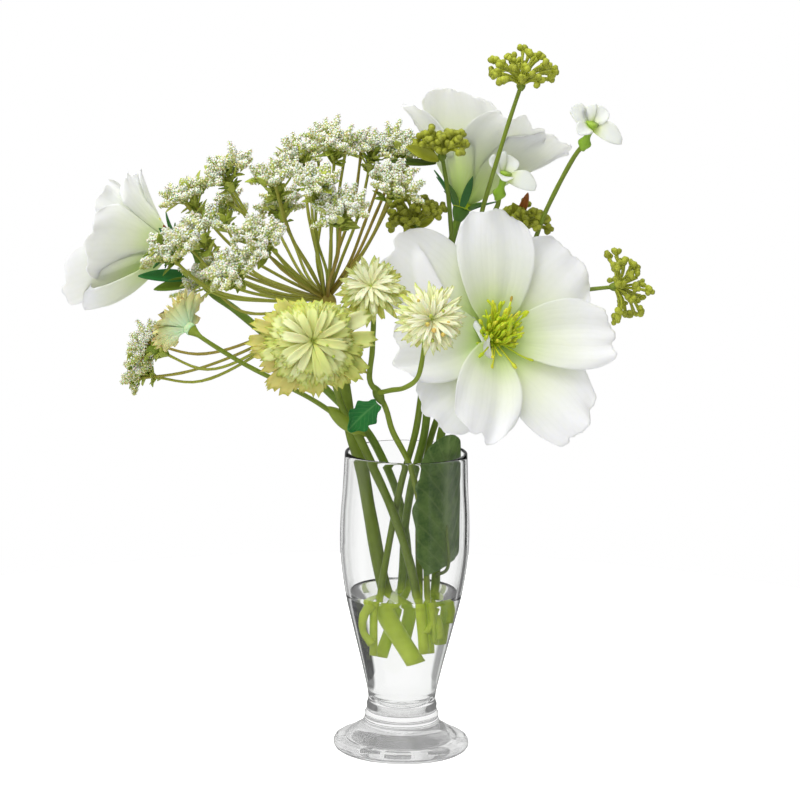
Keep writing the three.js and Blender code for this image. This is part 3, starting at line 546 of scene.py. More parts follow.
def makeClearMaterial(name, ior, edge, mirror):
    # clear solid with the faintest ripple in its surface, painted darker where it is seen edge on: a painted
    # shade that stands in for the dark surroundings seen through its edges
    material, tree, shader = newMaterial(
        name, Roughness=0.0, IOR=ior, Transmission_Weight=1.0, Specular_Tint=mirror)
    faint = mixed(white, (0.9, 0.93, 0.9, 1), 0.4)
    dye = useGroup(tree, mottledDye, Base=white, Second=faint, Scale=18.0, Amount=0.5)
    slant = put(tree, "LayerWeight").outputs["Facing"]
    # painted shade: grey that grows where the surface is seen edge on
    edgeShade = ramp(tree, slant, [(0.0, white), (0.45, white), (0.8, mixed(white, edge, 0.6)), (1.0, edge)])
    finishMaterial(tree, shader, mixColours(tree, 1.0, dye["Colour"], edgeShade, "MULTIPLY"), dye["Height"], 0.03)
    # light from the lamps passes straight through, so nothing behind the glass goes dark
    mixIntoOutput(tree, put(tree, "LightPath").outputs["Is Shadow Ray"], shader, put(tree, "BsdfTransparent"))
    return material


petalCloth = makePetalMaterial("whitePetalCloth", rgb(186, 222, 92), 0.82)
backPetalCloth = makePetalMaterial("limeTintedPetalCloth", rgb(196, 230, 104), 0.9, 0.34)
starCloth = makePetalMaterial("starPetalCloth", rgb(190, 214, 96), 0.5, 0.22, rgb(234, 238, 230))
# stops of the tone, and the colour of the clouds
stamenDye = makeToneMaterial(
    "yellowGreenStamens", [(0, 172, 196, 30), (0.5, 206, 222, 48), (0.8, 230, 226, 80), (1, 150, 90, 40)],
    (225, 230, 160), soft=0.2)
bloomGreen = makeToneMaterial(
    "bloomStemGreen", [(0, 144, 162, 54), (0.5, 98, 132, 46), (1, 52, 124, 66)], (200, 210, 140),
    # the last colour is the brighter lime painted below the water as painted light
    along=[(0, 255, 255, 255), (1, 225, 235, 225)], rough=0.42, litUnderWater=(214, 238, 74))
strapCloth = makeToneMaterial(
    "creamStraps", [(0, 254, 253, 236), (0.3, 248, 248, 212), (0.55, 208, 216, 116), (1, 216, 204, 124)],
    (244, 246, 222),
    along=[(0, 220, 226, 136), (0.25, 246, 246, 228), (0.8, 255, 255, 255), (1, 230, 238, 170)],
    soft=0.15, rough=0.6, bump=0.05)
mintCloth = makeToneMaterial(
    "mintStripedStraps", [(0, 248, 250, 240), (0.5, 246, 246, 226), (1, 236, 236, 206)], (225, 235, 205),
    along=[(0, 196, 238, 206), (0.3, 222, 242, 214), (0.65, 238, 236, 180), (1, 230, 220, 160)],
    soft=0.15, rough=0.6, bump=0.05)
dotDye = makeToneMaterial("goldAndGreenDots", [(0, 226, 196, 104), (1, 172, 194, 76)], (240, 230, 200))
floretCloth = makeToneMaterial(
    "whiteFlorets", [(0, 253, 253, 247), (0.4, 244, 245, 220), (0.65, 214, 218, 150), (1, 164, 178, 78)],
    (240, 240, 222),
    amount=0.2, rough=0.75, soft=0.2)
spikeGreen = makeToneMaterial(
    "floretGreen", [(0, 168, 184, 62), (0.5, 188, 198, 92), (1, 126, 150, 46)], (214, 214, 150), rough=0.55)
rayDye = makeToneMaterial(
    "oliveRays", [(0, 158, 168, 60), (0.6, 162, 164, 66), (1, 158, 138, 58)], (206, 192, 136),
    along=[(0, 188, 168, 120), (0.3, 255, 255, 255), (1, 255, 255, 255)], rough=0.42)
stemGreen = makeToneMaterial(
    "freshStemGreen", [(0, 140, 158, 52), (0.5, 108, 130, 40), (1, 70, 90, 30)], (196, 200, 130),
    # the last colour is the brighter lime painted below the water as painted light
    rough=0.38, litUnderWater=(218, 242, 78))
budDye = makeToneMaterial(
    "greenBuds", [(0, 182, 190, 62), (0.5, 156, 162, 48), (1, 116, 120, 38)], (214, 214, 140))
bulbDye = makeToneMaterial(
    "brightBulbGreen", [(0, 134, 176, 50), (0.5, 160, 198, 66), (1, 196, 216, 100)], (215, 225, 150),
    rough=0.4)
darkLeaf = makeLeafMaterial("darkLeafCloth", rgb(52, 84, 26), rgb(102, 130, 62), rgb(126, 148, 86))
freshLeaf = makeLeafMaterial("freshLeafCloth", rgb(20, 104, 46), rgb(46, 136, 60), rgb(110, 176, 96))
# the first grey of each is the painted edge shade it takes where seen edge on
clearGlass = makeClearMaterial("clearGlass", 1.5, (0.84, 0.85, 0.83, 1), (0.4, 0.4, 0.4, 1))
setWater = makeClearMaterial("setWater", 1.34, (0.6, 0.61, 0.6, 1), (0.6, 0.6, 0.6, 1))
print("materials made")

# glass and water

glassShape = {
    "footRadius": 34, "footThick": 5.4, "rim": 151, "water": 80, "meniscus": [1.8, 0.6],
    "sides": 128, "steps": {"shoulder": 12, "outside": 90, "inside": 80},
    # radius and height along the top of the foot, up the outside and down the inside
    "shoulder": [[29, 5.6], [28, 6], [26.6, 7.6], [24.5, 9.4]],
    "outside": [[24.5, 9.4], [21.4, 11], [19.2, 13.6], [18.4, 16], [18.6, 17.6], [17.8, 19], [17.4, 21],
                [17.6, 22.4], [17.0, 24], [16.9, 27], [19.8, 41], [24.5, 60], [29, 79], [31.8, 99], [32, 116],
                [31, 133], [30.3, 150]],
    "inside": [[28.5, 150], [29, 133], [30, 116], [29.7, 99], [26.8, 79], [22, 60], [16.9, 41], [13, 29],
               [8, 22.4], [0, 20]],
}


def makeGlass():
    # outline up the foot and the outside, round the rim and down the inside, turned round the axis
    g = glassShape
    half, turn = g["footThick"] / 2, linspace(-pi / 2, pi / 2, 9)
    edge = np.stack([g["footRadius"] - half + half * cos(turn), half + half * sin(turn)], 1)
    shoulder, outside, inside = (smoothOutline(g[key], steps) for key, steps in g["steps"].items())
    lip = linspace(0, pi, 9)[1:-1]
    centre, radius = (outside[-1, 0] + inside[0, 0]) / 2, (outside[-1, 0] - inside[0, 0]) / 2
    rim = np.stack([centre + radius * cos(lip), g["rim"] - 1 + sin(lip)], 1)
    profile = np.vstack([[0, 0], [20, 0], edge, shoulder[:-1], outside, rim, inside])
    addPiece("glassVase", [lathe(profile, g["sides"])], [clearGlass], "vase")
    return inside


def makeWater(inside):
    # the inside of the glass below the level, a hair into the wall, with a small meniscus at the edge
    level, (wide, high) = glassShape["water"], glassShape["meniscus"]
    wall = inside[inside[:, 1] < level + high] + [0.12, -0.06]
    wall[:, 0] = np.maximum(wall[:, 0], 0)
    rise = linspace(0, 1, 7)
    meniscus = np.stack([wall[0, 0] - wide * (1 - rise), level + high * rise ** 3], 1)
    profile = np.vstack([[0, level], [wall[0, 0] * 0.5, level], meniscus, wall[1:-1], [0, wall[-1, 1]]])
    addPiece("setWaterBody", [lathe(profile, glassShape["sides"])], [setWater], "water")


makeWater(makeGlass())
print("glass and water made")

# white blooms

blooms = {
    "Front": {
        "base": [41.2, 2, 208.1], "faces": [0.44, -0.82, 0.37],
        "length": 61, "width": 44, "lift": 15, "droop": 0.3,
        # of each petal: the way it points, its share of the length and width, the degrees it is raised by
        "turns": [355, 38, 88, 141, 184, 222, 243, 307], "reach": [1.0, 0.98, 1.0, 1.14, 0.98, 0.93, 0.95, 1.0],
        "broad": [0.86, 1.22, 1.04, 1.2, 0.94, 0.95, 0.88, 1.14], "raise": [0, 0, 0, 0, -4, -5, 4, 0],
        "seed": 11, "first": 1, "pleat": 3, "curl": 6, "frill": [136, 256], "tuft": 62, "stamenLength": 18,
        "sepalRise": -6, "sepalLong": 15, "sepalWide": 2.3,
        # angle, tilt, length, hook and tone of the longer filaments
        "feelers": [[96, 58, 17, 4, 0.5], [86, 64, 15, -4, 0.5], [62, 62, 19, 1, 0.93], [38, 66, 18, -2, 0.45],
                    [30, 60, 15, 3, 0.5], [-58, 66, 19, 5, 0.4], [120, 52, 12, 3, 0.5]],
        "stemRadius": 2.0, "cloth": petalCloth,
        "stem": [[13.5, 3, 55], [16, 4, 85], [16, 5, 110], [16, 6.5, 134], [17.5, 8, 160], [25, 14, 180]],
        "shoots": [([[14.2, 3.4, 80], [18, 1, 72], [17.6, 0, 66]], 2.0)],    # its way and radius
    },
    "Back": {
        "base": [26.4, 58, 266.6], "faces": [0.3, 0.2, 0.93],
        "length": 68, "width": 40, "lift": 48, "droop": 0.1,
        "turns": [20, 62, 116, 164, 198, 243, 288, 332], "reach": [0.97, 0.86, 1.02, 0.97, 0.94, 0.92, 1, 1],
        "broad": [1.1, 1.0, 1.25, 1.1, 1.1, 1.1, 1.1, 1.1], "raise": [-2, -8, 3, 0, 2, 2, 0, 0],
        "seed": 37, "first": 0, "tuft": 24, "stamenLength": 18,
        "sepalRise": 42, "sepalLong": 22, "sepalWide": 2.0,
        "feelers": [[60, 20, 14, 2, 0.5], [200, 24, 14, 2, 0.5]], "stemRadius": 1.9, "cloth": backPetalCloth,
        "stem": [[-7, 7, 48], [-1, 8, 82.7], [0.1, 9, 110.7], [3.2, 10, 132.4], [9.2, 12, 159.6],
                 [11, 24, 190], [17, 46, 230]],
    },
    "Left": {
        "base": [-118.7, 35, 247], "faces": [-0.95, 0.14, 0.15],
        "length": 55.5, "width": 36, "lift": 48, "droop": 0.1,
        "turns": [356, 47, 92, 140, 195, 236, 274, 311], "reach": [0.92, 0.86, 0.76, 0.8, 0.9, 0.95, 0.98, 1.1],
        "broad": [1.25, 1.2, 1.2, 1.2, 1.1, 1.1, 1.6, 1.5], "raise": [0, 4, 0, -12, -4, -4, 2, 0],
        "bell": [0, 0, 0, 0, 0, 2, 11, 5],    # how far each bulges outwards
        "seed": 61, "first": 0, "tuft": 24, "stamenLength": 15,
        "sepalRise": 34, "sepalLong": 15, "sepalWide": 2.0,
        "feelers": [[60, 20, 12, 2, 0.5], [200, 24, 12, 2, 0.5]], "stemRadius": 1.9, "cloth": petalCloth,
        "stem": [[0, 14, 54], [2.5, 16, 80], [-2, 16.5, 118.8], [-13.4, 11, 148.2], [-20.6, 9.5, 160.2],
                 [-31, 13, 170], [-53.6, 20, 190], [-86.2, 29, 215.6], [-101, 33, 226]],
        # a sepal dried to a red brown and two leaves on the stem: start, end, width, slot, tone, curl
        "leaves": [([-119.4, 30, 247], [-123, 27, 258.5], 3.4, 1, 1.0),
                   ([-106.5, 33, 231.5], [-134.5, 20, 233], 6.5, 0, 1.0, 0.02),
                   ([-105, 33, 230], [-127, 21, 226], 6, 0, 0.3, 0.05)],
    },
}
buttonLow, buttonTop, gap = -1.6, 2.2, 0.3


def petals(bloom):
    # each petal: a fan wrapped round the axis, lifted and drooped, with folds, veins and a scalloped tip
    i = numbers(len(bloom["turns"]), 3)
    a, b, c, d = (noise(bloom["seed"] + 7 * i + k) for k in (1, 2, 3, 4))
    turn, reach, broad, up, bell = (
        np.array(bloom.get(key, 0 * i.ravel()), float)[:, None, None]
        for key in ("turns", "reach", "broad", "raise", "bell"))
    length, lift = bloom["length"] * reach, radians(bloom["lift"] + up + 5 * (a - 0.5))
    u, v = grid(46, 34)
    half = bloom["width"] / 2 * broad * (0.12 + 0.88 * arch(u / 1.5, 0.88)) * (1 - 0.04 * u ** 6)
    upper = (i + bloom["first"]) % 2
    layer = upper * (1.1 + 2.2 * arch(u / 2))
    folds = 0.5 * cos(2 * pi * v + c) * u + 0.22 * cos(3.7 * pi * v + 9 * c) * u ** 0.8
    cupped = 1.5 * v * v * arch(u * 0.8) + 0.04 * cos(13 * pi * v + 5 * d) * arch(u, 0.5)
    wave = mix(0.5, 1.5, b) * sin(6 * c + 1.5 * pi * v) * u * u
    edge = 1.3 * np.abs(v) ** 5 * sin(7 * u + 7 * a + 2 * np.sign(v)) * u
    edge = edge + 1.1 * u ** 7 * sin(3.1 * pi * v + 8 * b)
    # one petal has a pleat that narrows to a point: a raised slope across it that drops at one side, its face
    # painted whiter as a painted highlight
    room = np.maximum(0.87 - u, 1e-3)
    rightEdge, leftEdge = -0.45 + 1.0 * room, -0.45 + 1.75 * np.sqrt(room)
    across = (leftEdge - v) / (leftEdge - rightEdge)
    within = (i == bloom.get("pleat")) * hold(12 * (0.87 - u)) * hold(4 * u - 0.8)
    # fold is the pleat's height; pale is its painted highlight, carried on the tone
    fold, pale = (hold(steep * across) * hold(end - end * across) * within for steep, end in ((1, 8), (5, 5)))
    # one has a margin that bends up a little beside the stamens
    curl = (i == bloom.get("curl")) * 2.5 * hold(-v) ** 3 * peak(u, 0.17, 0.13)
    # a soft crease along each: a valley in the petals on top, a ridge in those below
    crease = (2 * upper - 1) * mix(0.5, 2.2, a) * np.sqrt((v - 0.8 * (b - 0.5)) ** 2 + 0.004) * arch(u * 0.6)
    off = layer + folds + cupped + wave + edge + 4 * fold + curl + crease + (d - 0.5) * 0.12 * v * half * u
    scallop = np.abs(cos(1.15 * pi * v + 3 * c)) ** 0.7 - 0.6
    scallop = scallop + 0.34 * sin(8 * v + 9 * a) + 0.12 * sin(27 * v + 5 * b)
    along = length * u * (1 - 0.04 * v * v * u - 0.07 * v ** 6 * u ** 3 + 0.07 * (a - 0.5) * v * u ** 4)
    along = along + 0.034 * length * scallop * u ** 9
    out = 3 + along * cos(lift) - off * sin(lift) + bell * arch(u, 0.8)
    rise = sin(lift) * (along - bloom["droop"] * length * u ** 3) + off * cos(lift)
    swing = radians(turn) + np.minimum(half / np.maximum(out, 3), 0.8) * v
    thick = 0.14 + 0.5 * (1 - np.abs(v) ** 6) * (1 - u ** 8)
    # the tone carries the pleat's painted highlight
    return blade(spoke(seatOf(bloom), swing, out, 0, rise), thick, 0, pale)


def frill(bloom):
    # a white margin that curls up beside the stamens: an arc with a wavy edge, its inner side the higher
    t, v = grid(28, 6)
    v = -v
    half = 2.0 * arch(0.04 + 0.92 * t, 0.6) * (1 + 0.2 * sin(19 * t))
    out = 9.0 + 5.5 * (2 * t - 1) ** 2 + half * v + 0.6 * sin(11 * t)
    rise = 4.2 + 3.8 * arch(t) - 0.6 * half * v + 0.5 * sin(16 * t + v)
    return blade(spoke(seatOf(bloom), radians(mix(*bloom["frill"], t)), out, 0, rise), 0.3, 0, 0.95)


def button(bloom):
    # small dome that the petals grow from
    t = linspace(0, 1, 9)
    radius = 5.2 * arch(mix(0.34, 0.72, t), 0.8)
    return tube(onAxis(seatOf(bloom), mix(buttonLow, buttonTop, t))[None], radius, 24, 1, 0.2)


def stamens(bloom, count=90):
    # filaments in a golden spiral that lean out and curl in, each with a swollen anther at its tip
    k, seed = numbers(count), bloom["seed"]
    share = (k + 0.5) / count
    tilt = radians(mix(4, bloom["tuft"], share ** 0.8) * (1 + 0.3 * (noise(seed + 5 + 3 * k) - 0.5)))
    length = bloom["stamenLength"] * mix(0.5, 0.72, noise(seed + 11 + 7 * k)) * mix(1.05, 0.95, share)
    length = np.where(noise(seed + 23 + k) > 0.9, bloom["stamenLength"] * 1.08, length)
    t = linspace(0, 1, 9)[None]
    bend = tilt + mix(-0.5, 0.5, noise(seed + 31 + k)) * t
    out = 1.2 + 2.0 * np.sqrt(share) + length * t * sin(bend)
    side = 2.2 * (noise(seed + 41 + k) - 0.5) * t ** 2
    rise = buttonTop + gap + length * t * cos(bend)
    path = spoke(seatOf(bloom), k * golden + 0.6 * noise(seed + k), out, side, rise)
    path = path + np.array([0.5, 0, 3.6]) * (t ** 2)[..., None]    # the whole tuft leans up towards the light
    radius = 0.46 - 0.1 * t + 0.72 * peak(t, 0.9, 0.1) * np.where(noise(seed + 51 + k) > 0.25, 1, 0.3)
    return tube(path, radius, 6, 0, 0.2 + 0.55 * noise(seed + 61 + k))


def feelers(bloom):
    # a few longer filaments with hooked tips: angle, tilt, length, hook and tone of each
    angle, tilt, length, hook, tone = np.array(bloom["feelers"], float).T[:, :, None]
    t = linspace(0, 1, 16)[None]
    rise = buttonTop + gap + length * t * cos(radians(tilt)) + 2 * arch(t)
    path = spoke(seatOf(bloom), radians(angle), 3 + length * t * sin(radians(tilt)), hook * t ** 3, rise)
    return tube(path, 0.42 + 0.34 * peak(t, 0.93, 0.06), 7, 0, tone)


def pistils(bloom, count=22):
    # crowded green knobs in the middle of the stamens
    k = numbers(count)
    share = (k + 0.5) / count
    t = linspace(0, 1, 8)[None]
    lean = radians(50 * share)
    run = mix(4, 6.5, noise(k + 3)) * t
    out, rise = 3.2 * np.sqrt(share) + run * sin(lean), buttonTop + gap + run * cos(lean)
    path = spoke(seatOf(bloom), k * golden, out, 0, rise)
    return tube(path, 0.95 * arch(mix(0.25, 0.93, t), 0.7), 7, 0, 0.1 + 0.3 * noise(k + 9))


def stemTube(points, radii, tone, sides=14, step=3.0, slot=0, knots=()):
    # tube along a smooth path between two radii, with faint swells and any knots [share, size, spread]
    steps = max(8, int(lengthOf([np.asarray(p, float) for p in points])[-1] / step))
    t = linspace(0, 1, steps)
    radius = mix(*radii, t) * (1 + 0.035 * sin(31 * t + radii[0]))
    for at, size, spread in knots:
        radius = radius + size * peak(t, at, spread)
    return tube(smoothPath(points, steps)[None], radius, sides, slot, tone)


def sepals(bloom, count, shorter, seed, tone):
    # narrow pointed leaves behind the petals, folded along the middle
    k = numbers(count, 3)
    u, v = grid(18, 7)
    angle = (k + noise(seed + 40 + k) * 0.5) * 2 * pi / count
    reach = bloom["sepalLong"] * shorter * mix(0.8, 1.25, noise(seed + 70 + k))
    rising = radians(bloom["sepalRise"])
    side = bloom["sepalWide"] * arch(0.16 + 0.82 * u, 0.9) * v
    rise = buttonLow - gap - 1 + reach * u * sin(rising) + 0.7 * v * v * arch(u) - 2 * u * u
    return blade(spoke(seatOf(bloom), angle, 2.6 + reach * u * cos(rising), side, rise), 0.5, 0, tone)


def leaflet(start, end, width, slot, tone, curl=0.15):
    # small pointed leaf from start to end, folded along the middle and curling up at its tip
    way = np.array(end, float) - start
    side = unit(np.cross(way, [0.2, -0.9, 0.4]))
    u, v = (n[..., None] for n in grid(16, 7))
    across = width / 2 * arch(0.06 + 0.92 * u, 0.8) * v
    lift = 0.35 * width * v * v * arch(u) + curl * np.linalg.norm(way) * u * u
    return blade(start + way * u + side * across + unit(np.cross(side, way)) * lift, 0.4, slot, tone)


def shoot(points, radius, slot=0):
    # stub of a side shoot, swollen where it was cut
    return stemTube(points, [radius, radius * 0.95], 0.1, 12, 1.2, slot, [(1.0, 0.25 * radius, 0.12)])


for name, bloom in blooms.items():
    low, place, radius, base = name.lower(), seatOf(bloom), bloom["stemRadius"], buttonLow - gap
    parts = [petals(bloom), button(bloom)] + ([frill(bloom)] if "frill" in bloom else [])
    addPiece(f"bloom{name}Petals", parts, [bloom["cloth"], stamenDye], f"bloom_{low}_petals")
    parts = [stamens(bloom), pistils(bloom), feelers(bloom)]
    addPiece(f"bloom{name}Centre", parts, [stamenDye], f"bloom_{low}_centre")
    t = linspace(0, 1, 10)
    parts = [
        stemTube(bloom["stem"] + [onAxis(place, base - h) for h in (9, 2)], [radius * 1.1, radius], 0.25),
        tube(onAxis(place, mix(base - 6.5, base, t))[None], mix(radius, 4.4, sin(t * pi / 2)), 20, 0, 0.6),
        sepals(bloom, 5, 1, bloom["seed"], 0.9), sepals(bloom, 4, 0.65, bloom["seed"] + 9, 0.6),
    ]
    parts += [leaflet(*spot) for spot in bloom.get("leaves", [])]
    parts += [shoot(*spot) for spot in bloom.get("shoots", [])]
    addPiece(f"bloom{name}Stem", parts, [bloomGreen, stamenDye], f"bloom_{low}_stem")
print("blooms made")

# pincushion heads

plainHead = {
    "core": 0.3, "flat": 0, "rear": 0, "start": 0.14, "raised": 0.28, "teeth": 0.11, "cols": 5,
    "cloth": strapCloth,
}
heads = {
    # pale straps stand in front; the share `back` of them, laid low behind, is greener and reaches further
    "A": {**plainHead, "base": [-46, -52, 214], "faces": [0.08, -0.98, 0.16], "radius": 31, "width": 6.8,
          "count": 124, "back": 0.34, "low": 8, "high": 46, "reach": [0.86, 0.62], "seed": 3, "taper": 0.1,
          "rear": -0.12, "flat": 0.26, "raised": 0.4, "teeth": 0.13, "cols": 6,
          "tone": [0.5, -0.12, 0.12],         # in front: the plain tone, and what the climb and the draw add
          "rearTone": [0.62, 0.24, 0.12],     # behind: the plain tone, and what the side and the draw add
          # right, up, radius and tone of each bead
          "dots": [[9, -7, 0.8, 1], [3, 4, 0.7, 0.6], [6, -2, 0.6, 1]]},
    "C": {**plainHead, "base": [-17.6, -28, 234.5], "faces": [-0.1, -0.9, 0.42], "radius": 18.5, "width": 4.4,
          "count": 84, "back": 0.2, "low": 8, "high": 58, "reach": [1.0, 0.8], "seed": 5, "taper": 0.6,
          "rear": -0.06, "tone": [0.48, -0.34, 0.16], "rearTone": [0.52, 0, 0.15]},
    "D": {**plainHead, "base": [9.4, -60, 225.8], "faces": [0.12, -0.96, 0.22], "radius": 20.3, "width": 4.2,
          "count": 88, "back": 0.15, "low": 6, "high": 58, "reach": [1.02, 0.78], "seed": 8, "taper": 0.68,
          "rear": 0.1, "tone": [0.26, -0.15, 0.2], "rearTone": [0.4, 0, 0.2],
          "dots": [[-2.6, -2.5, 1.1, 0.3], [0.3, -5.3, 1.2, 0], [7.4, -1.6, 1.5, 0], [4.6, -7.1, 1.2, 0.1],
                   [-1.1, 1.1, 1.0, 0.9], [4.6, 3.4, 0.9, 0.8], [-0.2, -9.8, 1.0, 0.9], [-6.4, 8.3, 0.9, 0.1]]},
    "E": {**plainHead, "base": [-104, -32, 215], "faces": [-0.72, 0.45, 0.45], "radius": 22, "width": 7.4,
          "count": 34, "back": 0, "low": 26, "high": 48, "reach": [1.06, 0.8], "seed": 13, "taper": 0,
          "core": 0.14, "start": 0.04, "raised": 0, "teeth": 0.26, "cols": 6, "cloth": mintCloth,
          "tone": [0.2, 0.3, 0.4], "rearTone": [0, 0, 0]},
}
strapPlaces = [0, 0.24, 0.5, 0.74, 0.9, 1]    # rows along a strap


def straps(head):
    # straps in a golden spiral, lifting towards the middle: each is arched and channelled and ends in teeth
    radius, count, seed, back = (head[key] for key in ("radius", "count", "seed", "back"))
    k = numbers(count, 3)
    share = (k + 0.5) / count
    behind = share < back
    climb = hold((share - back) / (1 - back))
    u, v = np.array(strapPlaces)[None, :, None], linspace(-1, 1, head["cols"])[None, None, :]
    turn = k * golden + 0.3 * (noise(seed + k) - 0.5)
    above = np.where(behind, 1 + 9 * share / max(back, 0.01), mix(head["low"], head["high"], climb ** 1.05))
    above = above + 9 * (noise(seed + 3 * k) - 0.5)
    length = radius * np.where(behind, 1.0, mix(*head["reach"], climb ** 0.8))
    length = length * mix(0.8, 1.02, noise(seed + 57 + k))
    length = length * (1 + head["rear"] * (sin(turn) - 0.5) * (1 - climb))
    length = length * (1 - head["flat"] * np.abs(sin(turn)) ** 3.5 * (1 - climb))
    lift = radians(np.maximum(above, 1)) - mix(0.12, 1.25 * head["raised"], climb) * u * u * (climb > 0)
    half = head["width"] / 2 * mix(1, 0.6, climb) * mix(0.8, 1.15, noise(seed + 9 * k))
    half = half * (0.24 + 0.76 * arch(u * 0.6, 1.5)) * (1 - head["taper"] * u ** 3)
    spike = np.abs(2 * ((1.5 * v + 3 * noise(k + 4)) % 1) - 1)
    along = length * (u + head["teeth"] * (spike - 0.75) * u ** 9 - 0.05 * v * v * u ** 4)
    bowed = 0.07 * length * arch(u) * (0.6 + 0.8 * noise(seed + 15 * k))
    bowed = bowed + (0.6 * half * v * v - 0.05 * half * cos(3 * pi * v)) * np.minimum(1.6 * u, 1)
    start = radius * (head["start"] + head["raised"] * climb ** 1.2 - 0.04 * u * u * behind)
    side = half * v + 0.05 * length * (noise(k + 8) - 0.5) * u * u
    out, rise = along * cos(lift) - bowed * sin(lift), along * sin(lift) + bowed * cos(lift) + start
    plain, climbing, drawn = head["tone"]
    rear, turning, rearDrawn = head["rearTone"]
    draw = noise(seed + 71 + k)
    front, rear = plain + climbing * climb + drawn * draw, rear + turning * cos(turn - 3.8) + rearDrawn * draw
    tone = np.where(behind, rear, front)
    return blade(spoke(seatOf(head), turn, out, side, rise), 0.32 + 0.3 * (1 - u), 0, tone)


def headCore(head):
    # low dome under the straps
    t = linspace(0, 1, 12)
    path = onAxis(seatOf(head), head["radius"] * mix(0, 0.36 + 0.5 * head["raised"], t))[None]
    return tube(path, head["radius"] * head["core"] * cos(t * pi / 2 * 0.93) ** 0.5, 24, 0, 0.5)


def headDots(head):
    # gold and green beads that stand between the straps
    x, y, size, tone = np.array(head["dots"], float).T[:, :, None]
    t = linspace(0, 1, 8)[None]
    far, lean = head["radius"] * 0.93, 1 + 0.05 * t
    h = np.sqrt(far * far - x * x - y * y) - 4.2 + 3.2 * t
    return tube(onSeat(seatOf(head), x * lean, y * lean, h), size * arch(mix(0.12, 0.9, t), 0.7), 9, 1, tone)


for key, head in heads.items():
    parts = [straps(head), headCore(head)] + ([headDots(head)] if "dots" in head else [])
    addPiece(f"pincushionHead{key}", parts, [head["cloth"], dotDye], f"head_{key.lower()}")


def headBranch(way, key, radius, tone, cupTone):
    # branch to a head and the small flared cup under it
    place, t = seatOf(heads[key]), linspace(0, 1, 8)
    return [
        stemTube(way + [onAxis(place, -7), onAxis(place, -2)], [radius * 1.15, radius], tone, 12, 2.0),
        tube(onAxis(place, mix(-6, -0.3, t))[None], mix(radius, 2.8, t ** 1.5), 16, 0, cupTone)]


def knot(place, faces, radius, length, tone, slot=0):
    # spindle where branches part
    t = linspace(0, 1, 16)
    return tube(onAxis(seat(place, faces), length * (t - 0.5))[None], radius * arch(t, 0.8), 14, slot, tone)


forkLeft, forkRight = [-24.7, -15, 164], [-14.2, -22, 184]
addPiece("headsLeftStem", [
    stemTube([[9, -8, 52], [5.5, -9, 85], [-4.4, -11, 118.7], [-17.7, -14, 149.2], forkLeft], [2.3, 2.1], 0.4),
    *headBranch([forkLeft, [-31, -19, 175], [-37, -33, 196]], "A", 1.5, 0.3, 0.2),
    *headBranch([forkLeft, [-43.3, -20, 178.2], [-60.2, -25, 188.2], [-80, -29, 199]], "E", 1.1, 0.25, 0.1),
    knot([-29.5, -16.4, 168.6], [-0.75, -0.2, 0.6], 4.2, 26, 0.1),
], [stemGreen], "heads_left_stem")
addPiece("headsRightStem", [
    stemTube([[13, -5, 57], [11.5, -12, 82.2], [8.9, -15, 115.8], [1.9, -17, 147.2], [-7.1, -18, 165.1],
              [-10.2, -19, 175.7], forkRight], [1.6, 1.4], 0.15),
    *headBranch([forkRight, [-18.2, -23, 190], [-17.3, -24, 205]], "C", 1.2, 0.3, 0.2),
    *headBranch([forkRight, [-8, -33, 187.5], [-1, -44, 191], [5, -52, 198]], "D", 1.1, 0.15, 0.2),
    knot([-14, -21.6, 183], [-0.4, -0.1, 0.9], 2.6, 12, 0.5),
    shoot([[13, -5.4, 75], [11.4, -8, 68], [9.6, -9.6, 63]], 1.5),
    shoot([[13, -5.4, 71], [15.4, -7.6, 65], [16.2, -8, 59]], 1.8),
], [stemGreen], "heads_right_stem")
print("heads made")

# lace umbel

lace = {
    "hub": [-40.7, 5, 225.6],
    "stem": [[4.8, 2, 45.6], [-9.3, 2, 80], [-17.5, 1.5, 119], [-22.8, 1, 146], [-26.9, 1, 158.6],
             [-33.5, 4, 195], [-40.7, 5, 225.6]],
    "ends": [
        [-116, 0, 245], [-99, -16, 253], [-99, 16, 230], [-105, 8, 270], [-88, -6, 283], [-93, 44, 257],
        [-64, -20, 281], [-53, 18, 290], [-37, -12, 298], [-45, -40, 282], [-33, -44, 270], [-20, 14, 292],
        [-6, 20, 294], [-10, -14, 280], [-64, 44, 262], [-69, -38, 255], [-123, 12, 197], [-129, 26, 182],
        [-82, -40, 241],
    ],
    "core": 5.2, "apart": 7.4, "clusters": 4, "spikes": 8, "spikeLength": 9.2, "spikeRadius": 2.1, "bracts": 40,
    "florets": 26, "floretSize": 1.0, "small": [16, 17],    # numbers of the umbellets drawn in closer
}


def umbelletSeat(foot):
    # foot of an umbellet and the way it faces: along its ray, tipped upwards
    return seat(foot, unit(np.array(foot, float) - lace["hub"]) * 0.7 + [0, 0, 0.5])


def clusterCentres(place, index):
    # middles of the small clusters of an umbellet, set round its axis
    n = np.arange(lace["clusters"])
    angle = n * 2 * pi / lace["clusters"] + 2.4 * index + 0.7 * noise(index * 3 + n)
    apart = lace["apart"] * mix(0.7, 1.15, noise(index * 7 + n)) * (0.6 if index in lace["small"] else 1)
    return spoke(place, angle, apart, 0, lace["core"] + 5 * (noise(index + 5 * n) - 0.4))


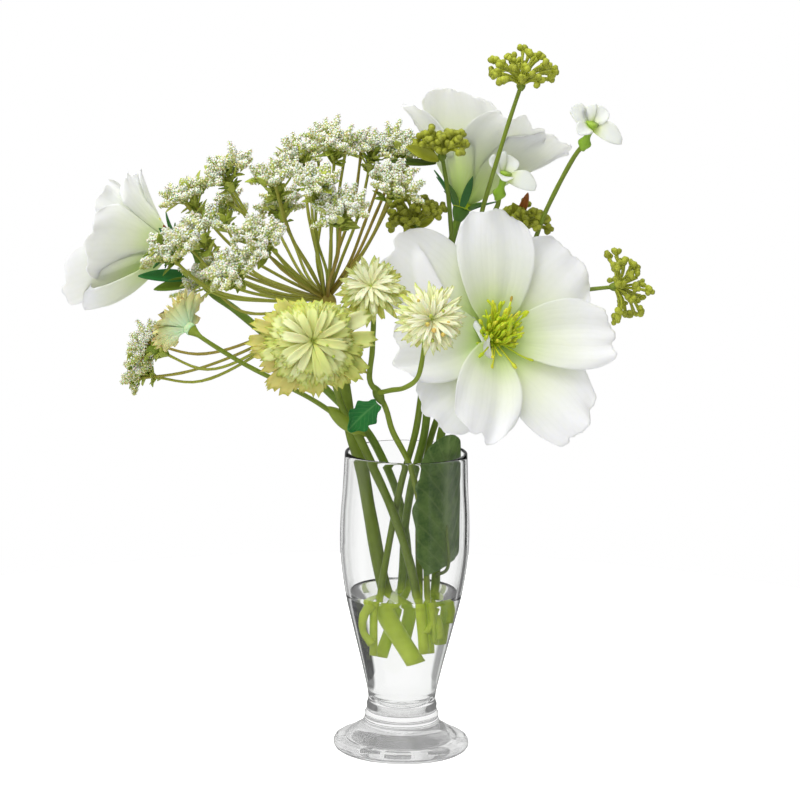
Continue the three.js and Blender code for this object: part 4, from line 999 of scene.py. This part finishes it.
def spikeAxes(place, centres, index):
    # directions of the spikes in a golden spiral over the upper part of each cluster, and how long each is
    each = lace["spikes"]
    k = numbers(lace["clusters"] * each)
    height = mix(0.97, -0.15, (k % each + 0.5) / each)
    flat, angle = np.sqrt(1 - height ** 2), k * golden + 2.1 * index
    away = unit(centres - onAxis(place, lace["core"] * 0.4))
    ahead = unit(0.6 * np.repeat(away, each, 0) + place["axis"] + [0, 0, 0.25])
    right = unit(np.cross(ahead, [0.3, 0.9, 0.2]))
    way = flat * cos(angle) * right + flat * sin(angle) * np.cross(ahead, right) + height * ahead
    wander = np.hstack([noise(index * 5 + 7 * k + n) for n in (0, 1, 2)]) - 0.5
    length = lace["spikeLength"] * mix(0.5, 1.25, noise(index * 17 + 3 * k))
    return unit(way + 0.8 * wander + [0, 0, 0.2]), length


def spikes(root, way, length):
    # green cones that carry the florets, on short stalks
    t = linspace(0, 1, 7)[None]
    radius = 0.3 + (lace["spikeRadius"] - 0.7) * (hold((t - 0.15) / 0.2) * (1 - t) ** 0.6)
    path = root[:, None] + way[:, None] * (length * t)[..., None]
    return tube(path, radius, 6, 0, 0.62 + 0.3 * noise(length * 9))


def florets(root, way, length, index):
    # tiny four-pointed stars set in spirals on every cone, tipped outwards, of uneven size
    each = lace["florets"]
    k = np.arange(len(way) * each)
    s, f = k // each, k % each
    t = (f + 0.5) / each
    axis, long, share, angle = way[s], length[s, 0], mix(0.24, 1.02, t), f * golden + index + s
    side = unit(np.cross(axis, leastAxis(axis)))
    radial = cos(angle)[:, None] * side + sin(angle)[:, None] * np.cross(axis, side)
    bulge = lace["spikeRadius"] * clip((share - 0.12) / 0.16, 0.4, 1) * hold(1.05 - share) ** 0.62
    bulge = 0.2 + bulge * mix(0.75, 1.2, noise(k + 3 * index))
    place = root[s] + axis * (long * share)[:, None] + radial * bulge[:, None]
    wander = np.stack([noise(k * 3 + n + index) for n in (1, 2, 3)], 1) - 0.5
    normal = unit(radial + axis * mix(0.2, 1.6, t)[:, None] + 0.9 * wander)
    right = unit(np.cross(normal, leastAxis(normal)))
    size = (lace["floretSize"] * mix(0.65, 1.35, noise(k + 11 * index)) * mix(1.1, 0.8, t))[:, None, None]
    corner = np.arange(8)
    point = (corner % 2 == 0)[None, :, None]             # every second corner is a point of the star
    turn = (corner * pi / 4 + 6 * noise(k + 0.5)[:, None])[..., None]
    up = np.cross(normal, right)[:, None]
    star = place[:, None] + size * np.where(point, 1.0, 0.5) * (cos(turn) * right[:, None] + sin(turn) * up)
    star = star + normal[:, None] * size * np.where(point, 0.35, 0.0)
    middle = place[:, None] + normal[:, None] * size * np.array([0.5, -0.35])[None, :, None]
    c, n = corner, (corner + 1) % 8
    tris = np.vstack([np.stack([c, n, 0 * c + 8], 1), np.stack([n, c, 0 * c + 9], 1)])
    under = hold(0.5 - 0.9 * normal[:, 2])               # painted shade: the florets that look down are painted greener and darker
    dyed = mix(1.0, 0.3, np.minimum(1.8 * t, 1)) * noise(k * 2 + index) ** 1.5
    tone = np.maximum(dyed, under * (0.5 + 0.5 * noise(k * 5 + index)))
    return makePart(np.concatenate([star, middle], 1), np.zeros((0, 4), int), tris, 0, tone[:, None], 0)


def bracts(place, index):
    # small ovate leaves among the cones, cupped and pointed
    k = numbers(lace["bracts"], 3)
    u, v = grid(6, 5)
    long = mix(3.8, 9.0, noise(index * 3 + k) ** 1.3)
    lift = radians(mix(-10, 75, noise(index + 9 * k + 1)))
    height = mix(-5, 8, noise(index * 4 + 6 * k))
    start = np.where(height < 1.5, 0.8, mix(1.0, 7.5, noise(index * 2 + 4 * k)))
    side = long * 0.3 * arch(0.08 + 0.9 * u) * v
    rise = height + long * u * sin(lift) + 0.9 * v * v * arch(u)
    middle = spoke(place, k * golden + index * 1.7, start + long * u * cos(lift), side, rise)
    return blade(middle, 0.3, 1, 0.1 + 0.9 * noise(index * 7 + k))


def branchlets(place, centres):
    # thin stalks from the foot to the middle of each cluster
    t = linspace(0, 1, 7)[None, :, None]
    path = place["origin"] + (centres[:, None] - place["origin"]) * t - 0.9 * place["axis"] * arch(t)
    return tube(path, 0.62 - 0.15 * t[..., 0], 7, 1, 0.2)


seats = [umbelletSeat(foot) for foot in lace["ends"]]
clusters = [clusterCentres(place, index) for index, place in enumerate(seats)]
for index, (place, centres) in enumerate(zip(seats, clusters)):
    way, length = spikeAxes(place, centres, index)
    root = np.repeat(centres, lace["spikes"], 0) + way * 1.2
    parts = [
        florets(root, way, length, index), spikes(root, way, length),
        bracts(place, index), branchlets(place, centres)]
    number = f"{index + 1:02d}"
    node = "lace_umbellet_" + number
    addPiece("laceUmbellet" + number, parts, [floretCloth, spikeGreen], node)


def rays():
    # thin rays from the hub: a sagging one to each umbellet's foot, and a second to one of its clusters
    axes = np.array([place["axis"] for place in seats])
    beside = np.array([centres[i % lace["clusters"]] for i, centres in enumerate(clusters)])
    tips = np.vstack([np.array(lace["ends"], float) - gap * axes, beside - 1.2 * axes])
    n = np.arange(len(tips))
    start = np.array(lace["hub"], float) + 1.6 * np.stack([noise(n) - 0.5, noise(n + 7) - 0.5, 0 * n], 1)
    away = unit(tips - start)
    far = np.linalg.norm(tips - start, axis=1, keepdims=True)
    aside = unit(np.cross(away, [0, 0, 1])) * ((noise(n * 3 + 1) - 0.5) * 0.13 * far[:, 0])[:, None]
    sag = 0.2 * (noise(n * 5 + 2)[:, None] - 0.5) * far * (away[:, 2:] < 0.6)
    low, flat = far * (away[:, 2:] < 0.1), away * [1, 1, 0]
    first = mix(start, tips, 0.33) + 2 * flat + (0.6 * sag - 0.05 * far - 0.06 * low) * [0, 0, 1] + 0.7 * aside
    second = mix(start, tips, 0.68) + 3 * flat + (sag - 0.05 * far - 0.07 * low) * [0, 0, 1] - 0.3 * aside
    path = np.stack([smoothPath(points, 24) for points in zip(start, first, second, tips)])
    t = linspace(0, 1, 24)[None]
    knotted = 0.12 * peak(t, 0.6 + 0.2 * noise(n)[:, None], 0.03)
    radius = mix(0.86, 0.68, t) + 0.45 * peak(t, 1, 0.04) + knotted
    return tube(path, radius, 8, 0, noise(n * 3))


t = linspace(0, 1, 12)
swell = 1.6 + 3 * arch(mix(0.15, 0.9, t))
hub = tube(onAxis(seat(lace["hub"], [-0.35, 0, 0.94]), mix(-6, 4, t))[None], swell, 18, 0, 0.9)
stem = stemTube(lace["stem"], [3.7, 2.9], 0.35, 18, 3.0, 1, [(0.55, 0.3, 0.02), (0.8, 0.4, 0.02)])
addPiece("laceStem", [stem, hub, rays()], [rayDye, stemGreen], "lace_stem")
print("lace umbel made")

# green sprays and star flowers

sprays = {
    "A": {
        "stem": [[-12, -6, 50], [-11.3, -6, 80.3], [-7.7, -6, 105.3], [-2.3, -6, 135.7], [4.6, -4, 162.6],
                 [8.5, 4, 192], [14, 15, 216], [22, 19, 238]],
        "umbels": [
            {"hub": [52.4, 2, 332], "faces": [0.02, -0.15, 1], "radius": 20, "lowest": 0.04, "tone": 0.25,
             "from": [[22, 19, 238], [32.5, 21.5, 258], [36.5, 16.6, 274], [41, 4, 293], [47, 0, 315]]},
            {"hub": [14.9, 4, 297], "faces": [0.02, -0.1, 1], "radius": 15.5, "lowest": 0.24, "tone": 0.5,
             "from": [[22, 19, 238], [20, 14, 262], [18, 8, 280]]},
            {"hub": [3, 14, 262], "faces": [-0.3, -0.1, 0.95], "radius": 17, "lowest": 0, "tone": 0.6,
             "from": [[14, 15, 216], [10, 16, 240]]},
        ],
        "knots": [([22, 19, 238], [0.35, 0.1, 0.93], 2.6, 11), ([14, 15, 216], [0.3, 0.2, 0.93], 2.3, 10)],
        # start, end, width, slot and tone of the small leaves, then the cut side shoots
        "leaves": [([13.5, 4, 295], [-3.5, 1, 301], 7, 0, 0.4), ([12.5, 6, 294], [0, 8, 304], 6, 0, 0.5),
                   ([12, 4, 293.5], [-12, 0, 293.5], 3.6, 1, 0.9), ([3, 14, 261], [-8, 8, 264], 6, 0, 0.5),
                   ([3, 14, 261], [13, 12, 268], 6, 0, 0.4)],
        "shoots": [([[-11.4, -6.4, 78], [-16.6, -8, 71], [-17.2, -8, 62], [-13, -8.4, 56.5]], 2.2)],
        "star": {"name": "Middle", "crown": [45.5, 16, 285], "faces": [0.25, -0.2, 0.95],
                 "length": 16, "seed": 27, "turns": [150, 95, 215, 20, 300], "lifts": [50, 66, 25, 58, 8],
                 "from": [[22, 19, 238], [34, 22, 256], [43, 18, 272]]},
    },
    "B": {
        "stem": [[8, 9, 50], [8, 10, 80], [7, 12.5, 110], [8.7, 14, 134.5], [13.5, 17, 159.3], [26, 28, 186],
                 [43, 35, 214], [56, 36, 236]],
        "umbels": [
            {"hub": [102.6, 34, 230], "faces": [0.95, 0, 0.1], "radius": 20.5, "lowest": -0.22, "tone": 0.25,
             "from": [[43, 35, 214], [66, 40, 221], [86, 38, 227]]},
            {"hub": [55, 33, 258], "faces": [0.05, 0.05, 1], "radius": 15, "lowest": 0, "tone": 0.5,
             "from": [[56, 36, 236], [55, 35, 247]]},
        ],
        "knots": [([56, 36, 236], [0.35, 0, 0.93], 2.6, 11), ([43, 35, 214], [0.5, 0.1, 0.8], 2.3, 10)],
        "leaves": [([54, 32, 262], [50, 30, 272], 5, 0, 0.4), ([54, 32, 264], [58, 28, 278], 4, 2, 1.0)],
        "shoots": [],
        "star": {"name": "Right", "crown": [86.6, 6, 311], "faces": [0.3, -0.3, 0.9], "length": 15, "seed": 21,
                 "turns": [135, 85, 200, 15, 318], "lifts": [40, 64, 14, 50, 0],
                 "from": [[56, 36, 236], [62, 29, 253], [67, 22, 269], [80, 10, 298]]},
    },
}
bud = {"rays": 26, "knobs": 4, "radius": 1.72}


def umbel(spec):
    # curved rays in a golden spiral from the hub, each ending in a few knobby buds
    place, tone, seed, knobs = seat(spec["hub"], spec["faces"]), spec["tone"], spec["hub"][2], bud["knobs"]
    k = numbers(bud["rays"])
    height = mix(0.98, spec["lowest"] + 0.14, (k + 0.5) / bud["rays"])
    far = spec["radius"] * mix(0.55, 0.86, noise(seed + 3 * k))
    t = linspace(0, 1, 9)[None]
    out, rise = far * t * np.sqrt(1 - height ** 2), far * (t * height + 0.12 * arch(t))
    path = spoke(place, k * golden + seed, out, 0, rise)
    stalks = tube(path, 0.66 + 0.5 * t ** 5, 6, 0, tone)
    n = np.arange(bud["rays"] * knobs)
    spread = unit(np.stack([noise(n * 5 + q + spec["hub"][0]) - 0.5 for q in (1, 2, 3)], 1))
    lead = unit(np.repeat(unit(path[:, -1] - path[:, -2]), knobs, 0) + spread + [0, 0, 0.3])
    s = np.array([0, 0.25, 0.5, 0.72, 0.9, 1])
    long = bud["radius"] * mix(2.0, 2.9, noise(n * 3))[:, None]
    track = np.repeat(path[:, -1], knobs, 0)[:, None] + lead[:, None] * (long * s - 0.4)[..., None]
    size = bud["radius"] * mix(0.72, 1.08, noise(n * 7 + 1))[:, None]
    size = size * (0.22 + 0.78 * arch(0.9 * s ** 1.6, 0.7))
    buds = tube(track, size, 7, 0, hold(tone + 0.5 * (noise(n * 9) - 0.5)))
    branch = stemTube(spec["from"] + [spec["hub"]], [1.25, 1.0], tone, 12, 2.5, 1)
    hub = tube(onAxis(place, mix(-2.5, 2.5, s))[None], 1.0 + 1.3 * arch(s), 12, 1, tone)
    return [stalks, buds, branch, hub]


def starBranch(star):
    # branch with the bulb below the crown
    place, t = seat(star["crown"], star["faces"]), linspace(0, 1, 14)
    radius = 1.3 + 2.1 * peak(t, 0.34, 0.2) + 0.7 * t ** 3
    bulb = tube(onAxis(place, mix(-11.5, -0.3, t))[None], radius, 16, 3, 0.3)
    return [stemTube(star["from"] + [onAxis(place, -8)], [1.2, 1.2], 0.3, 12, 2.5, 1), bulb]


def starPetals(star):
    # narrow pointed petals folded along the middle, on a short tube
    place, i = seat(star["crown"], star["faces"]), numbers(len(star["turns"]), 3)
    turn, lift = (radians(star[key])[:, None, None] for key in ("turns", "lifts"))
    length = star["length"] * mix(0.85, 1.05, noise(star["seed"] + 5 * i))
    u, v = grid(20, 9)
    side = 4.1 * arch(0.1 + 0.84 * u ** 1.15, 0.8) * v
    # each is rolled about its own length so that its front edge hangs
    front = cos(turn) * place["up"][1] - sin(turn) * place["right"][1]
    rise = 1.3 + length * sin(lift) * (u - 0.2 * u * u) - 0.16 * length * u ** 3
    rise = rise + 0.9 * np.abs(v) ** 1.5 * arch(u) + 0.9 * front * side
    s = linspace(0, 1, 8)
    crown = tube(onAxis(place, mix(0, 3.6, s))[None], 1.8 + 1.5 * s ** 1.5, 14, 1, 0.6)
    return [blade(spoke(place, turn, 1.4 + length * u * cos(lift), side, rise), 0.4), crown]


for key, spray in sprays.items():
    star = spray["star"]
    parts = [stemTube(spray["stem"], [1.8, 1.5], 0.4, 14, 3.0, 1)]
    for spec in spray["umbels"]:
        parts += umbel(spec)
    parts += starBranch(star) + [knot(*spot, 0.4, 1) for spot in spray["knots"]]
    parts += [leaflet(*spot) for spot in spray["leaves"]] + [shoot(*spot, 1) for spot in spray["shoots"]]
    worn = [budDye, stemGreen, stamenDye, bulbDye]
    addPiece(f"greenSpray{key}", parts, worn, "spray_" + key.lower())
    name, node = "starFlower" + star["name"], "star_" + star["name"].lower()
    addPiece(name, starPetals(star), [starCloth, bulbDye], node)
print("sprays made")

# leaves

vaseLeafShape = {
    "radius": 27, "middle": -40, "half": 41, "low": 98, "high": 163, "bow": 1.6,
    "stalkFoot": [16.4, 1.6, 88], "stalkRows": 18,    # how far the stalk runs up the blade
}
smallLeafShape = {"base": [-14.6, -23.8, 179.5], "tip": [-28.4, -31, 167], "width": 13, "side": [0.25, -1, 0]}


def vaseLeaf():
    # blade bent round the inside of the glass, with a notched edge, raised side veins and a rib
    s = vaseLeafShape
    u, v = grid(60, 31)
    notch = 1 - 0.05 * cos(8 * pi * u + 2 * v + 1.5 * sin(9 * u)) * v * v
    angle = radians(s["middle"] + s["half"] * arch(0.18 + 0.67 * u, 0.55) * notch * v)
    veins = 0.35 * np.abs(sin(pi * (7 * u - 2.5 * np.abs(v)))) ** 3 - 0.5 * peak(v, 0, 0.06)
    r = s["radius"] - s["bow"] * (1 - v * v) * arch(u) - veins * (1 - v ** 4)
    high = mix(s["low"], s["high"], u) - 5 * v * v * u + 4 * v * (1 - u)
    middle = np.stack(np.broadcast_arrays(r * cos(angle), r * sin(angle), high), -1)
    rib = middle[0, :, middle.shape[2] // 2]
    stalk = stemTube([s["stalkFoot"], rib[0], rib[s["stalkRows"]]], [0.9, 0.7], 0.6, 10, 1.5, 1)
    return [blade(middle, 0.5), stalk]


def smallLeaf():
    # toothed blade from base to tip, cupped upwards, with a rib
    s = smallLeafShape
    way = np.array(s["tip"]) - s["base"]
    side = unit(np.cross(way, s["side"]))
    u, v = grid(40, 17)
    teeth = 1 + 0.16 * cos(6 * pi * u) * v * v + 0.05 * np.abs(sin(24 * u)) * v ** 8
    half = s["width"] / 2 * arch(0.1 + 0.86 * u) * teeth
    lift = 1.6 * v * v - 2 * arch(u) + 0.25 * peak(v, 0, 0.08)
    middle = s["base"] + u[..., None] * way + (half * v)[..., None] * side
    return blade(middle + lift[..., None] * unit(np.cross(side, way)), 0.45)


addPiece("vaseLeafBlade", vaseLeaf(), [darkLeaf, stemGreen], "vase_leaf")
addPiece("smallForkLeaf", [smallLeaf()], [freshLeaf], "small_leaf")
print("leaves made")

# floor

floorShape = {"radius": 0.42, "rings": [0.06, 0.15, 0.3, 1.0], "sides": 96}


def makeFloor():
    # round pale sheet under the foot, bright enough to melt into the backdrop
    rings, sides = floorShape["rings"], floorShape["sides"]
    turn, r = linspace(0, 2 * pi, sides + 1)[:-1], np.array(rings)[:, None] * floorShape["radius"]
    points = np.stack([r * cos(turn), r * sin(turn), 0 * r * turn], -1).reshape(-1, 3)
    mesh = bpy.data.meshes.new("paleFloor")
    faces = gridQuads(len(rings), sides, True)[:, ::-1].tolist() + [list(range(sides))]
    mesh.from_pydata(points.tolist(), [], faces)
    material, tree, shader = newMaterial(
        "paleFloorPaint", Roughness=0.7, Specular_IOR_Level=0.1, Emission_Color=white)
    pale, greyer = (0.95, 0.95, 0.95, 1), (0.93, 0.93, 0.93, 1)
    dye = useGroup(tree, mottledDye, Base=pale, Second=greyer, Scale=30.0, Amount=0.3)
    path = put(tree, "LightPath").outputs
    glowing = calc(tree, "*", path["Is Camera Ray"], 0.62)
    feed(tree, shader, {"Base Color": dye["Colour"], "Emission Strength": glowing})
    # what the glass bends from the sides is as banded on the floor as in the surroundings
    where = put(tree, "TexCoord").outputs["Object"]
    way = put(tree, "VectorMath", {0: where}, operation="NORMALIZE").outputs[0]
    across = calcLine(tree, axisOf(tree, way, "X"), 0.5, 0.5)
    far = put(tree, "VectorMath", {0: where}, operation="LENGTH").outputs["Value"]
    ends = dict(zip(("From Min", "From Max", "To Min", "To Max"), studio["nearAndFar"] + studio["floorBands"]))
    share = put(tree, "MapRange", {"Value": far, **ends}).outputs[0]
    bounced = calc(tree, "-", path["Is Glossy Ray"], path["Is Transmission Ray"], True)
    strength = calcLine(tree, bounced, studio["reflected"] - 1, studio["backdrop"])
    banded = mixColours(tree, share, white, ramp(tree, across, bandStops))
    glow = put(tree, "Emission", {"Color": banded, "Strength": strength})
    mixIntoOutput(tree, calc(tree, "max", path["Is Transmission Ray"], path["Is Glossy Ray"]), shader, glow)
    mesh.materials.append(material)
    floor = bpy.data.objects.new("paleFloor", mesh)
    bpy.context.scene.collection.objects.link(floor)


makeFloor()

print("scene made")
